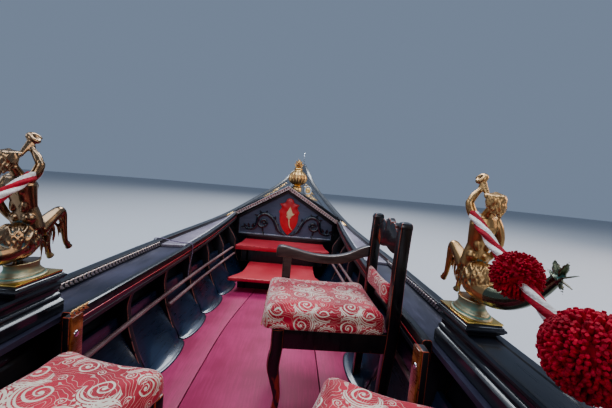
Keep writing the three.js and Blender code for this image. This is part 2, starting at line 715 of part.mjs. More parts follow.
// Loose seats
function pad(half, front, low, high, corner = 26) {
  const ring = (z, inset) => {
    const [w, d, r] = [half - inset, front - inset, corner];
    return [[w - r, -d], [w - r * 0.3, -d + r * 0.3], [w, -d + r], [w, d - r],
      [w - r * 0.3, d - r * 0.3], [w - r, d],
      [r - w, d], [r * 0.3 - w, d - r * 0.3], [-w, d - r], [-w, r - d], [r * 0.3 - w, r * 0.3 - d],
      [r - w, -d]]
      .map(([x, y]) => point(x, y, z));
  };
  return loft([ring(low, 10), ring(low + 10, 0), ring(high - 16, 0), ring(high, 20)], "z");
}

function placed(x, y, degrees) {
  const group = new THREE.Group();
  group.position.set(x, y, 0);
  group.rotation.z = THREE.MathUtils.degToRad(degrees);
  boat.add(group);
  return group;
}

const chair = { x: 506, y: -228, turn: 2, half: 185, depth: 221, seatLow: 340, seatTop: 420, postTop: 738,
  apronLow: 272, overhang: 63, armPost: 142, armPostHalf: 20 };

function chairFrame() {
  const { half, depth, seatLow, apronLow, overhang, postTop } = chair;
  const stand = floor.top + fit;
  const [side, front, back] = [half - 24, depth - overhang, -depth - 18];
  const parts = [];
  for (const hand of [1, -1]) {
    const x = hand * side;
    parts.push(stick("z", [[x, front + 6, stand, 17, 17], [x, front - 8, 40, 12, 12],
      [x, front - 12, 95, 13, 13],
      [x, front + 7, 200, 22, 22], [x, front, apronLow, 22, 22], [x, front, seatLow - fit, 22, 22]]));
    parts.push(stick("z", [[x, back + 24, stand, 16, 16], [x, back + 10, 200, 18, 20],
      [x, back, seatLow, 19, 21], [x, back - 2, 540, 19, 21], [x, back - 8, postTop - 16, 19, 21],
      [x, back - 9, postTop, 12, 13]]));
    parts.push(block(x - 11, x + 11, back, front, apronLow, seatLow - fit));
  }
  parts.push(block(-side, side, front - 11, front + 11, apronLow, seatLow - fit));
  parts.push(block(-side, side, back - 2, back + 18, apronLow, seatLow - fit));
  const bow = [[-side, 628], [-side, 690], [-84, 706], [-58, 722], [-24, 712], [0, 734], [24, 712],
    [58, 722], [84, 706],
    [side, 690], [side, 628], [84, 612], [0, 622], [-84, 612]];
  parts.push(prism("y", bow, back - 24, back - 2));
  parts.push(block(-side, side, back - 12, back + 6, 420, 446));
  const arm = side + 6;
  parts.push(stick("y", [[arm, back, 568, 16, 24], [arm, back + 50, 554, 18, 23],
    [arm, back + 115, 525, 19, 20], [arm, -55, 513, 20, 18], [arm, 30, 515, 21, 18],
    [arm, 110, 528, 22, 21], [arm, 160, 535, 22, 24], [arm, 184, 534, 21, 22], [arm, 192, 532, 17, 16]]));
  parts.push(stick("z", [[arm, chair.armPost, apronLow + 10, 15, chair.armPostHalf],
    [arm, chair.armPost, 532, 16, chair.armPostHalf]]));
  return join(parts);
}

function chairSeat() {
  const { half, depth, seatLow, seatTop, armPost, armPostHalf } = chair;
  const arm = half - 24 + 6;
  const [cutLow, cutHigh] = [seatLow - 10, seatTop + 40];
  const notches = [
    block(arm - 17, half + 30, armPost - armPostHalf - fit, armPost + armPostHalf + fit, cutLow, cutHigh),
    ...[1, -1].map((hand) => rightWay(block(hand * (half - 46), hand * (half + 30), -depth - 40,
      -depth + 3 + fit,
      cutLow, cutHigh))),
  ];
  return cut(pad(half, depth - 4, seatLow, seatTop, 20), notches);
}

// The small pad hangs between the posts, held by the cross rail behind it.
function chairBack() {
  const back = -chair.depth - 18;
  const half = chair.half - 24 - 22;
  const outline = [[back + 4, 432], [back + 30, 428], [back + 28, 506], [back + 12, 516],
    [back - 8, 508], [back - 6, 450]];
  return cut(prism("x", outline, -half, half), [
    block(-half - 5, half + 5, back - 40, back + 6 + fit, 380, 446 + fit),
    chairSeat().translate([0, 0, fit]),
  ]);
}

const stools = [
  { name: "port", x: -112, y: 318, turn: -12, half: [138, 142] },
  { name: "starboard", x: -150, y: -290, turn: -22, half: [138, 142] },
];
const stoolSeat = { low: 335, top: 400 };

function stoolFrame([halfX, halfY]) {
  const stand = floor.top + fit;
  const [x, y, top] = [halfX - 24, halfY - 24, stoolSeat.low - fit];
  const parts = [];
  for (const [a, b] of [[1, 1], [1, -1], [-1, 1], [-1, -1]]) {
    parts.push(stick("z", [[a * x, b * y, stand, 12, 12], [a * x, b * y, 240, 17, 17],
      [a * x, b * y, top, 17, 17]]));
  }
  for (const hand of [1, -1]) {
    parts.push(block(-x, x, hand * y - 9, hand * y + 9, 270, top));
    parts.push(block(hand * x - 9, hand * x + 9, -y, y, 270, top));
  }
  return join(parts);
}

// Main seat: a broad base, a back with a rising crest and two side arms with knobs for the ropes
const sofa = { front: -1030, back: -1560, half: 430, seatLow: 300, seatTop: 412, crest: 900 };

function sofaBase() {
  const { front, back, half, seatLow } = sofa;
  const stand = floor.top + fit;
  const high = seatLow - fit;
  const parts = [
    block(front - 22, front, -half, half, 60, high),
    block(back, back + 22, -half, half, 60, high),
    block(back, front, -half, -half + 22, 60, high),
    block(back, front, half - 22, half, 60, high),
    block(back, front, -half, half, high - 16, high),
  ];
  for (const x of [back + 24, front - 24]) {
    for (const y of [-half + 24, half - 24]) {
      const inward = Math.sign(y) * 60;
      parts.push(stick("z", [[x, y - inward, stand, 20, 20], [x, y, 62, 22, 22]]));
    }
  }
  return join(parts);
}

function sofaBackFrame() {
  const { back, half, crest } = sofa;
  const outline = [[-half, 62], [half, 62], [half + 60, 500], [half + 56, 640], [half - 20, 760],
    [half - 160, 812],
    [150, 836], [60, crest], [-60, crest], [-150, 836], [160 - half, 812], [20 - half, 760],
    [-half - 56, 640],
    [-half - 60, 500]];
  const board = prism("x", outline, back - 30, back - fit);
  const arms = [1, -1].map((hand) => stick("x", [
    [back - 30, hand * 500, 600, 20, 30], [back + 120, hand * 528, 590, 20, 18],
    [-1180, hand * 548, 586, 20, 16],
    [-1040, hand * 556, 600, 20, 18], [-976, hand * 562, 612, 20, 22],
  ]));
  const props = [1, -1].map((hand) => stick("z", [
    [-1100, hand * 556, 500 + 12, 16, 16], [-1100, hand * 552, 590, 16, 16],
  ]));
  return join([board, ...arms, ...props]);
}

const sofaCushion = (half) => pad(half, (sofa.front - sofa.back) / 2 - 22, sofa.seatLow, sofa.seatTop, 40);

function sofaBackPad() {
  const { back, half } = sofa;
  const outline = [[-half + 30, 420], [half - 30, 420], [half - 20, 620], [half - 90, 730], [0, 770],
    [90 - half, 730], [20 - half, 620]];
  return prism("x", outline, back + fit, back + 90);
}

// A gilded vase with a leafy crown stands on the peak of the fore deck.
const vase = { x: 2690, y: -80 };

function peakVase() {
  const outline = [[0, 690], [52, 690], [52, 792], [34, 802], [34, 812], [88, 846], [102, 884],
    [92, 924], [56, 962],
    [40, 980], [48, 1000], [66, 1030], [60, 1060], [20, 1088], [0, 1090]];
  return cut(turned(outline, vase.x, vase.y, 12), [belowDeck("fore", vase.x - 200, vase.x + 200)]);
}

// Varnished posts under the aft ends of the coamings
const posts = [{ hand: 1, x: 116, half: 20 }, { hand: -1, x: 82, half: 20 }];

function endOfCoamingPost({ hand, x, half }) {
  const y = hand * 462;
  return block(x - half, x + half, y - 14, y + 14, floor.top + fit, 440);
}

// A thin lashing from the gunwale round the coaming to the upper batten
const lashing = { radius: 3, steps: 32 };
const lashingRoute = [
  [1084, 698, 430], [1084, 697.5, 446], [1086, 690, 452.5], [1090, 668, 453.5], [1093, 648, 452.5],
  [1098, 632, 447],
  [1108, 596, 439], [1118, 560, 433], [1125, 536, 429.5], [1130, 518, 428.5], [1134, 503, 429],
  [1136, 495, 422], [1137, 494, 405], [1137, 494, 366], [1134, 499, 330], [1133, 505, 290],
  [1134, 508, 262], [1135, 509, 232],
];

// Assembly
add("bottom_planking", bottom(), "lacquer");
for (const [name, hand] of sides) {
  add(`side_planking_${name}`, sidePlanks(hand), "lacquer");
  add(`gunwale_rail_${name}`, gunwale(hand), "lacquer");
  add(`side_deck_${name}`, sideDeckBoard(hand), "deckBoard");
  add(`coaming_${name}`, coamingRail(hand), "lacquer");
  add(`side_moulding_${name}`, join([sideMoulding(hand), plinthBlock(hand)]), "lacquer");
  add(`figure_${name}`, figure(hand), "brass");
  add(`rope_${name}`, tube(ropeRoute.map(([x, y, z]) => [x, hand * y, z]), rope.radius, rope.steps),
    "wool");
  woolBalls.forEach((row, i) => add(`wool_ball_${name}_${i + 1}`, woolBall(row, hand), "wool"));
  const seam = [seamPlaces, (x) => hand * (seamAt(x) + seamGap)];
  const scallop = [scallopPlaces, (x) => hand * (scallopAt(x) - fit)];
  add(`floor_board_${name}`, floorBoard(seam, scallop), "pinkFloor");
  const tongues = [scallopPlaces, (x) => hand * scallopAt(x)];
  add(`floor_margin_${name}`, floorBoard(tongues, [footPlaces, (x) => hand * (footAt(x) - 3)]), "lacquer");
}
add("stem_post", endPost(1), "lacquer");
add("stern_post", endPost(-1), "lacquer");
add("frames", frames(), "timber");
const rods = sides.flatMap(([, hand]) => battens.map((row) => batten(row, hand)));
add("ribs_fore", ribRow(ribs.first, 2150, rods), "timber");
add("ribs_aft", ribRow(-1690, ribs.first - ribs.spacing), "timber");
const seamEdge = (hand) => [seamPlaces, (x) => hand * (seamAt(x) - seamGap)];
add("floor_board_middle", floorBoard(seamEdge(-1), seamEdge(1)), "pinkFloor");
add("lower_step", tread(lowerStep), "redPaint");
add("lower_riser", riser(lowerStep, floor.top), "timber");
add("upper_step", tread(upperStep), "redPaint");
add("upper_riser", riser(upperStep, lowerStep.top), "timber");
add("pediment", bulkheadFore(), "greyPaint");
add("pediment_cornice", cornice(), "gilt");
add("pediment_shield", shield(), "redPaint");
add("fore_deck", crownedDeck("fore", bulkheads.fore + fit, hullEnd - fit), "lacquer");
add("stern_deck", crownedDeck("aft", fit - hullEnd, bulkheads.aft - fit), "lacquer");
add("stern_bulkhead", bulkheadAft(), "lacquer");
add("stern_platform", sternPlatform(), "timber");
add("bow_iron", bowIron(), "steel");
add("stern_iron", sternIron(), "steel");
add("oarlock", oarlock(), "walnut");
add("oarlock_block", lockBlock(), "lacquer");
add("oar", oarShape(), "walnut");
add("peak_vase", peakVase(), "gilt");
posts.forEach((row) => add(`coaming_post_${row.hand > 0 ? "port" : "starboard"}`,
  endOfCoamingPost(row), "varnish"));
add("lashing_cord", tube(lashingRoute, lashing.radius, lashing.steps), "wool");

const chairGroup = placed(chair.x, chair.y, chair.turn);
add("chair_frame", chairFrame(), "lacquer", chairGroup);
add("chair_seat", chairSeat(), "damask", chairGroup);
add("chair_back_pad", chairBack(), "damask", chairGroup);
for (const { name, x, y, turn, half } of stools) {
  const group = placed(x, y, turn);
  add(`stool_frame_${name}`, stoolFrame(half), "lacquer", group);
  add(`stool_cushion_${name}`, pad(half[0], half[1], stoolSeat.low, stoolSeat.top), "damask", group);
}
add("main_seat_base", sofaBase(), "lacquer");
add("main_seat_back", sofaBackFrame(), "lacquer");
const sofaGroup = placed((sofa.front + sofa.back) / 2 + 20, 0, 90);
add("main_seat_cushion", sofaCushion(sofa.half - 14), "damask", sofaGroup);
add("main_seat_back_pad", sofaBackPad(), "damask");

export default boat;
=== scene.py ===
import math
import random

import bmesh
import bpy
from mathutils import Matrix, Vector, noise


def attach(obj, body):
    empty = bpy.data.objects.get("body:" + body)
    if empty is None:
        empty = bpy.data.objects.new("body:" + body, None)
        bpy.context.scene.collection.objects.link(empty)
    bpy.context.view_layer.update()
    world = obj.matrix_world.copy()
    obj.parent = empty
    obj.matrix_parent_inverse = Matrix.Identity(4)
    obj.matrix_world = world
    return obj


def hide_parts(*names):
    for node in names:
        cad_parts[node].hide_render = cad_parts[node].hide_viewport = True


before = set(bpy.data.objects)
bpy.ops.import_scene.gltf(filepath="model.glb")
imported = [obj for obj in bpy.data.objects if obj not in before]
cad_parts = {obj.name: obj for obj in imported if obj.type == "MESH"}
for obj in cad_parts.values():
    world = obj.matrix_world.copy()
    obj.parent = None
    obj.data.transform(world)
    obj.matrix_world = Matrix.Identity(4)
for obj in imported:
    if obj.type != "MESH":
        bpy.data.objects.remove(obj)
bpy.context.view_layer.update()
scene = bpy.context.scene
tau = 2 * math.pi

# The view from the main seat, looking forward with the head tilted a little
viewpoint = {"place": (-0.70, -0.107, 0.84), "lens": 18.3, "yaw": 1.445, "pitch": 3.75, "roll": 5.1}


def setCamera():
    yaw, pitch, roll = (math.radians(viewpoint[key]) for key in ("yaw", "pitch", "roll"))
    forward = Vector((math.cos(yaw) * math.cos(pitch), -math.sin(yaw) * math.cos(pitch), -math.sin(pitch)))
    right = forward.cross(Vector((0, 0, 1))).normalized()
    up = right.cross(forward)
    across = right * math.cos(roll) + up * math.sin(roll)
    upward = up * math.cos(roll) - right * math.sin(roll)
    lens = bpy.data.cameras.new("seatView")
    lens.lens = viewpoint["lens"]
    lens.clip_start = 0.02
    holder = bpy.data.objects.new("seatView", lens)
    turn = Matrix((across, upward, -forward)).transposed().to_4x4()
    holder.matrix_world = Matrix.Translation(viewpoint["place"]) @ turn
    scene.collection.objects.link(holder)
    scene.camera = holder


setCamera()


# Shader maths: a wire is a socket whose operators add Math nodes
class Wire:
    def __init__(self, finish, socket):
        self.finish, self.socket = finish, socket

    def math(self, operation, *others):
        return self.finish.add("Math", {"operation": operation}, dict(enumerate((self, *others))))

    def reflected(self, operation, other):
        return self.finish.add("Math", {"operation": operation}, {0: other, 1: self})

    def __add__(self, other):
        return self.math("ADD", other)

    def __sub__(self, other):
        return self.math("SUBTRACT", other)

    def __mul__(self, other):
        return self.math("MULTIPLY", other)

    def __truediv__(self, other):
        return self.math("DIVIDE", other)

    def __pow__(self, other):
        return self.math("POWER", other)

    def __gt__(self, other):
        return self.math("GREATER_THAN", other)

    def __lt__(self, other):
        return self.math("LESS_THAN", other)

    def __rsub__(self, other):
        return self.reflected("SUBTRACT", other)

    __radd__ = __add__
    __rmul__ = __mul__


class Finish:
    def __init__(self, name, color, roughness, **constants):
        self.material = bpy.data.materials.new(name)
        self.material.use_nodes = True
        self.tree = self.material.node_tree
        self.shader = self.tree.nodes["Principled BSDF"]
        self.shader.inputs["Base Color"].default_value = (*color, 1)
        self.shader.inputs["Roughness"].default_value = roughness
        for key, value in constants.items():
            socket = self.shader.inputs[key]
            socket.default_value = (*value, 1) if isinstance(value, tuple) else value

    def add(self, kind, settings=None, inputs=None, output=0):
        node = self.tree.nodes.new("ShaderNode" + kind)
        for key, value in (settings or {}).items():
            if key == "stops":
                elements = node.color_ramp.elements
                while len(elements) < len(value):
                    elements.new(0.5)
                for element, (place, color) in zip(elements, value):
                    element.position = place
                    element.color = (*color, 1)
            else:
                setattr(node, key, value)
        for key, value in (inputs or {}).items():
            if isinstance(value, Wire):
                self.tree.links.new(value.socket, node.inputs[key])
            else:
                node.inputs[key].default_value = value
        return Wire(self, node.outputs[output])

    def feed(self, socket, wire):
        self.tree.links.new(wire.socket, self.shader.inputs[socket])

    def place(self, stretch=(1, 1, 1), turn=(0, 0, 0)):
        here = self.add("TexCoord", output="Object")
        return self.add("Mapping", None, {"Vector": here, "Scale": stretch, "Rotation": turn})

    def noise(self, scale, detail=4, stretch=(1, 1, 1), roughness=0.55, distortion=0):
        inputs = {"Vector": self.place(stretch), "Scale": scale, "Detail": detail, "Roughness": roughness,
                  "Distortion": distortion}
        return self.add("TexNoise", None, inputs)

    def step(self, wire, low, high):
        return self.add("MapRange", {"interpolation_type": "SMOOTHSTEP"}, {0: wire, 1: low, 2: high})

    def mix(self, factor, first, second, blend="MIX"):
        colors = {6: first, 7: second}
        inputs = {0: factor} | {key: value if isinstance(value, Wire) else (*value, 1) for key, value in colors.items()}
        return self.add("Mix", {"data_type": "RGBA", "blend_type": blend}, inputs, output=2)

    def ramp(self, wire, *stops):
        return self.add("ValToRGB", {"stops": stops}, {0: wire})

    def bump(self, height, strength, distance=0.001):
        self.feed("Normal", self.add("Bump", None, {"Height": height, "Strength": strength, "Distance": distance}))

    def attribute(self, name, output="Fac"):
        return self.add("Attribute", {"attribute_name": name}, output=output)


def paintedFinish(name, dark, light, rough, worn, grain=(1, 14, 14), wearFrom=0.45, relief=0.25, patches=1,
                  **constants):
    finish = Finish(name, dark, rough, **constants)
    cloud = finish.noise(3.5, 5)
    streak = finish.noise(9, 6, grain, 0.62)
    color = finish.mix(finish.step(cloud * 0.6 + streak * 0.4, 0.38, 0.66), dark, light)
    # edge colour: real worn paint on most finishes, a painted highlight on the carving
    chipsAndGlints = finish.step(finish.noise(38, 5, (0.35, 1, 1), 0.7), wearFrom, wearFrom + 0.09)
    edge = chipsAndGlints * finish.attribute("wear")
    if patches < 1:
        bare = finish.step(finish.noise(8, 4, (1, 1, 0.35), 0.6), patches, patches + 0.03)
        edge = edge.math("MAXIMUM", bare * 0.8)
    scuffs = finish.step(finish.noise(16, 8, (0.3, 1, 1), 0.75), 0.68, 0.74) * 0.5
    finish.feed("Base Color", finish.mix(edge, finish.mix(scuffs, color, light), worn))
    finish.feed("Roughness", streak * 0.3 + cloud * 0.16 + edge * 0.3 + (rough - 0.22))
    finish.bump(streak * 0.6 + finish.noise(140, 3) * 0.4 - edge, relief, 0.0006)
    return finish


def metalFinish(name, bright, dull, crust, rough, crustFrom=0.52, relief=0.3):
    finish = Finish(name, bright, rough, Metallic=1.0)
    hollow = 1 - finish.step(finish.add("NewGeometry", output="Pointiness"), 0.44, 0.52)
    spots = finish.noise(22, 7, roughness=0.66)
    tarnish = finish.step(spots * 0.55 + hollow * 0.45, 0.34, 0.72)
    green = finish.step(finish.noise(11, 6) * 0.6 + hollow * 0.4, crustFrom, crustFrom + 0.16)
    finish.feed("Base Color", finish.mix(green, finish.mix(tarnish, bright, dull), crust))
    finish.feed("Roughness", tarnish * 0.22 + green * 0.3 + rough)
    finish.feed("Metallic", 1 - green * 0.8)
    finish.bump(finish.noise(190, 4) * 0.5 + spots * 0.5, relief, 0.0008)
    return finish


def woodFinish(name, dark, light, rough, rings=26, **constants):
    finish = Finish(name, light, rough, **constants)
    wave = finish.add("TexWave", {"wave_type": "BANDS", "bands_direction": "Y"},
                      {"Vector": finish.place((0.5, 1, 1)), "Scale": rings, "Distortion": 5.0, "Detail": 3.0,
                       "Detail Scale": 0.7})
    pores = finish.noise(60, 6, (0.12, 1, 1), 0.7)
    tone = finish.step(wave * 0.45 + pores * 0.55, 0.25, 0.75)
    finish.feed("Base Color", finish.mix(tone, dark, light))
    finish.feed("Roughness", pores * 0.25 + (rough - 0.12))
    finish.bump(pores, 0.25, 0.0005)
    return finish


# Damask: tight spirals with feathered leaves along their backs, repeated on a tile
damask = {
    "tile": (0.19, 0.16),
    "spirals": [
        # across, up, radius, hand, turn, leaf from, leaf span
        (0.036, 0.042, 0.027, 1, 0.10, 0.3, 3.5), (0.126, 0.030, 0.023, -1, 0.45, -1.9, 3.2),
        (0.080, 0.104, 0.026, -1, 0.80, 1.3, 3.4), (0.166, 0.118, 0.027, 1, 0.30, -2.7, 3.5),
        (0.006, 0.112, 0.013, 1, 0.60, 0.0, 0.0), (0.128, 0.084, 0.012, -1, 0.20, 0.0, 0.0),
        (0.040, 0.088, 0.011, 1, 0.20, 0.0, 0.0), (0.082, 0.046, 0.010, -1, 0.50, 0.0, 0.0),
        (0.176, 0.062, 0.011, 1, 0.90, 0.0, 0.0), (0.120, 0.146, 0.009, 1, 0.10, 0.0, 0.0),
        (0.028, 0.146, 0.010, -1, 0.70, 0.0, 0.0),
    ],
    "red": (0.56, 0.020, 0.042), "deep": (0.32, 0.007, 0.018), "silver": (0.72, 0.65, 0.53),
}


def damaskFinish():
    finish = Finish("redDamask", damask["red"], 0.5, **{"Sheen Weight": 0.6, "Sheen Roughness": 0.35,
                                                        "Sheen Tint": (1.0, 0.86, 0.88)})
    cloth = finish.add("UVMap", {"uv_map": "weave"})
    ripple = finish.add("TexNoise", {"noise_dimensions": "2D"}, {"Vector": cloth, "Scale": 14.0, "Detail": 2.0})
    u, v = (finish.add("SeparateXYZ", None, {0: cloth}, output=axis) + ripple * 0.012 for axis in "XY")
    width, height = damask["tile"]
    pattern = None
    for across, up, radius, hand, turn, leafFrom, leafSpan in damask["spirals"]:
        x = (u - across).math("WRAP", width / 2, -width / 2)
        y = (v - up).math("WRAP", height / 2, -height / 2)
        reach = (x * x + y * y).math("SQRT") / radius
        angle = y.math("ARCTAN2", x) * hand
        coil = (angle / tau + (reach ** 0.75) * 2.1 + turn).math("FRACT")
        line = ((coil - 0.5).math("ABSOLUTE") < reach * 0.05 + 0.11) * (reach < 1.06)
        core = reach < 0.16
        shape = line.math("MAXIMUM", core)
        if leafSpan:
            along = (angle - leafFrom).math("WRAP", tau, 0.0) / leafSpan
            swell = (1 - (along * 2 - 1) ** 2.0).math("MAXIMUM", 0.0).math("SQRT") * (along < 1.0)
            teeth = (along * leafSpan * 3.0 - reach).math("FRACT") * 0.30
            within = along * 0.26 + 1.13
            leaf = (reach > within) * (reach < swell * (0.80 - teeth) + within)
            vein = ((reach - within) / (swell * 0.78 + 0.01) * 2.7 - along * 0.8).math("FRACT") > 0.36
            shape = shape.math("MAXIMUM", leaf * vein)
        pattern = shape if pattern is None else pattern.math("MAXIMUM", shape)
    swirl = finish.add("TexWave", {"wave_type": "RINGS", "rings_direction": "Z"},
                       {"Vector": cloth, "Scale": 16.0, "Distortion": 11.0, "Detail": 1.0, "Detail Scale": 1.4})
    pattern = pattern.math("MAXIMUM", ((swirl - 0.5).math("ABSOLUTE") < 0.085) * 0.6)
    thread = finish.add("TexWave", {"wave_type": "BANDS", "bands_direction": "DIAGONAL"},
                        {"Vector": cloth, "Scale": 420.0})
    shade = finish.noise(9, 4)
    ground = finish.mix(finish.step(shade, 0.3, 0.7), damask["deep"], damask["red"])
    bright = finish.mix(thread * 0.35, damask["silver"], (0.42, 0.33, 0.20))
    finish.feed("Base Color", finish.mix(pattern, ground, bright))
    finish.feed("Roughness", 0.62 - pattern * 0.2 + thread * 0.06)
    finish.bump(pattern * 0.7 + thread * 0.3, 0.5, 0.0006)
    return finish


def yarnFinish(name, dark, light):
    finish = Finish(name, light, 0.85, **{"Sheen Weight": 0.3, "Sheen Roughness": 0.5, "Sheen Tint": light})
    fibre = finish.noise(220, 4)
    finish.feed("Base Color", finish.mix(finish.step(fibre * 0.5 + finish.noise(26, 3) * 0.5, 0.34, 0.66), dark, light))
    lay = finish.add("UVMap", {"uv_map": "weave"})
    ply = finish.add("TexWave", {"bands_direction": "DIAGONAL"}, {"Vector": lay, "Scale": 60.0})
    finish.bump(fibre * 0.5 + ply * 0.5, 0.6, 0.0012)
    return finish


finishes = {
    "lacquer": paintedFinish("blackLacquer", (0.006, 0.007, 0.010), (0.016, 0.018, 0.026), 0.30, (0.10, 0.035, 0.022),
                             wearFrom=0.56, **{"Coat Weight": 0.5, "Coat Roughness": 0.08}),
    "worn": paintedFinish("wornLacquer", (0.007, 0.007, 0.009), (0.022, 0.019, 0.021), 0.32, (0.46, 0.085, 0.034),
                          grain=(8, 8, 1), wearFrom=0.37, **{"Coat Weight": 0.4, "Coat Roughness": 0.12}),
    "chair": paintedFinish("chairLacquer", (0.007, 0.007, 0.009), (0.024, 0.019, 0.019), 0.30, (0.50, 0.085, 0.034),
                           grain=(8, 8, 1), wearFrom=0.37, patches=0.605, **{"Coat Weight": 0.5, "Coat Roughness": 0.1}),
    "arm": paintedFinish("wornArm", (0.040, 0.028, 0.025), (0.125, 0.085, 0.074), 0.34, (0.30, 0.14, 0.09), grain=(8, 1, 8),
                         wearFrom=0.37, **{"Coat Weight": 0.4, "Coat Roughness": 0.15}),
    "ribs": paintedFinish("ribPaint", (0.010, 0.011, 0.014), (0.030, 0.032, 0.040), 0.42, (0.34, 0.13, 0.10),
                          grain=(8, 8, 1), wearFrom=0.38),
    # bays: black paint tinted deep blue, a painted reflection of the sky on the gloss
    "bays": paintedFinish("bayPaintAndSkyReflection", (0.007, 0.015, 0.034), (0.020, 0.042, 0.085), 0.30, (0.05, 0.06, 0.08),
                          **{"Coat Weight": 0.6, "Coat Roughness": 0.1}),
    "bottom": paintedFinish("bottomTar", (0.012, 0.011, 0.011), (0.030, 0.026, 0.024), 0.62, (0.06, 0.05, 0.045)),
    "battens": paintedFinish("battenPaint", (0.15, 0.075, 0.075), (0.34, 0.21, 0.20), 0.40, (0.30, 0.07, 0.05)),
    "floor": paintedFinish("floorPaint", (0.36, 0.022, 0.085), (0.52, 0.050, 0.155), 0.56, (0.14, 0.010, 0.030),
                           wearFrom=0.40),
    "steps": paintedFinish("stepPaint", (0.60, 0.036, 0.048), (0.72, 0.085, 0.095), 0.44, (0.30, 0.010, 0.012),
                           grain=(14, 1, 14), **{"Coat Weight": 0.3, "Coat Roughness": 0.25}),
    "trough": paintedFinish("troughPaint", (0.016, 0.016, 0.030), (0.062, 0.058, 0.094), 0.42, (0.12, 0.10, 0.14)),
    "boards": paintedFinish("boardPaint", (0.20, 0.165, 0.205), (0.34, 0.29, 0.34), 0.42, (0.62, 0.60, 0.62),
                            wearFrom=0.36),
    "panel": paintedFinish("panelPaint", (0.072, 0.094, 0.145), (0.118, 0.150, 0.212), 0.46, (0.45, 0.50, 0.58),
                           grain=(14, 1, 14), wearFrom=0.30),
    "pale_border": paintedFinish("paleBorder", (0.38, 0.44, 0.52), (0.62, 0.68, 0.74), 0.42, (0.08, 0.09, 0.12), (4, 4, 4)),
    "red": paintedFinish("shieldPaint", (0.56, 0.022, 0.026), (0.70, 0.055, 0.052), 0.36, (0.24, 0.006, 0.008),
                         grain=(4, 4, 4), **{"Coat Weight": 0.4, "Coat Roughness": 0.15}),
    # carving: its pale blue edge colour is a painted highlight on the glossy black, not wear
    "carving": paintedFinish("carvingPaintAndEdgeHighlight", (0.008, 0.010, 0.016), (0.024, 0.030, 0.046), 0.24, (0.16, 0.19, 0.25),
                             grain=(4, 4, 4), relief=0.08, **{"Coat Weight": 1.0, "Coat Roughness": 0.06}),
    "cream": paintedFinish("creamPaint", (0.62, 0.46, 0.20), (0.80, 0.70, 0.42), 0.4, (0.4, 0.25, 0.1), (4, 4, 4)),
    "gilt": metalFinish("agedGilt", (0.78, 0.50, 0.22), (0.34, 0.17, 0.09), (0.12, 0.06, 0.05), 0.30, 0.60),
    "antique": metalFinish("antiqueGilt", (0.70, 0.60, 0.56), (0.36, 0.27, 0.26), (0.11, 0.085, 0.095), 0.30, 0.47),
    "brass": metalFinish("castBrass", (0.46, 0.28, 0.13), (0.13, 0.078, 0.040), (0.09, 0.21, 0.18), 0.35, 0.50),
    "plate": metalFinish("brassPlate", (0.86, 0.60, 0.20), (0.60, 0.38, 0.12), (0.20, 0.30, 0.22), 0.22, 0.66),
    "patina": metalFinish("greenBrass", (0.34, 0.28, 0.17), (0.14, 0.15, 0.11), (0.12, 0.25, 0.20), 0.42, 0.34),
    # a darker copy of the brass, painted shade for the port figure; both figures are cast alike
    "shadedBrass": metalFinish("brassInShade", (0.30, 0.20, 0.12), (0.10, 0.07, 0.05), (0.06, 0.13, 0.14), 0.24, 0.50),
    "verdigris": metalFinish("darkVerdigris", (0.16, 0.17, 0.12), (0.05, 0.07, 0.06), (0.05, 0.14, 0.12), 0.26, 0.46),
    "steel": metalFinish("polishedSteel", (0.72, 0.73, 0.75), (0.46, 0.46, 0.47), (0.26, 0.20, 0.15), 0.20, 0.72),
    "walnut": woodFinish("oiledWalnut", (0.060, 0.028, 0.014), (0.19, 0.095, 0.045), 0.38),
    "varnish": woodFinish("varnishedWood", (0.13, 0.035, 0.012), (0.36, 0.12, 0.040), 0.28,
                          **{"Coat Weight": 0.7, "Coat Roughness": 0.08}),
    "damask": damaskFinish(),
    "wool": yarnFinish("crimsonWool", (0.22, 0.004, 0.012), (0.50, 0.010, 0.026)),
    "pale": yarnFinish("whiteWool", (0.50, 0.46, 0.42), (0.84, 0.82, 0.78)),
    "cotton": yarnFinish("violetCord", (0.13, 0.10, 0.16), (0.30, 0.25, 0.34)),
}
print("finishes made")


# Mesh tools; shapes are drawn in millimetres
def newMesh():
    bm = bmesh.new()
    bm.faces.layers.float.new("wear")
    return bm


def spread(start, stop, step):
    count = max(1, round(abs(stop - start) / step))
    return [start + (stop - start) * i / count for i in range(count + 1)]


def curve(points, count=6):
    rows = [Vector(p) for p in points]
    rows = [2 * rows[0] - rows[1], *rows, 2 * rows[-1] - rows[-2]]
    found = []
    for a, b, c, d in zip(rows, rows[1:], rows[2:], rows[3:]):
        for t in (k / count for k in range(count)):
            found.append((2 * b + (c - a) * t + (2 * a - 5 * b + 4 * c - d) * t * t
                          + (3 * b - a - 3 * c + d) * t ** 3) / 2)
    return found + [rows[-2]]


def flatCurve(points, count=6):
    return [(p.x, p.y) for p in curve([(x, y, 0) for x, y in points], count)]


def fill(bm, edges):
    return bmesh.ops.edgeloop_fill(bm, edges=edges)["faces"]


def loop(bm, points, closed=True):
    verts = [bm.verts.new(p) for p in points]
    return verts, [bm.edges.new(pair) for pair in zip(verts, verts[1:] + (verts[:1] if closed else []))]


def loft(bm, rings, closed=True, caps=True):
    verts, edges = loop(bm, rings[0], closed)
    made, first = list(verts), edges
    for ring in rings[1:]:
        grown = bmesh.ops.extrude_edge_only(bm, edges=edges)["geom"]
        verts = [g for g in grown if isinstance(g, bmesh.types.BMVert)]
        edges = [g for g in grown if isinstance(g, bmesh.types.BMEdge)]
        for vert, place in zip(verts, ring):
            vert.co = place
        made += verts
    if caps and closed:
        fill(bm, first)
        fill(bm, edges)
    return made


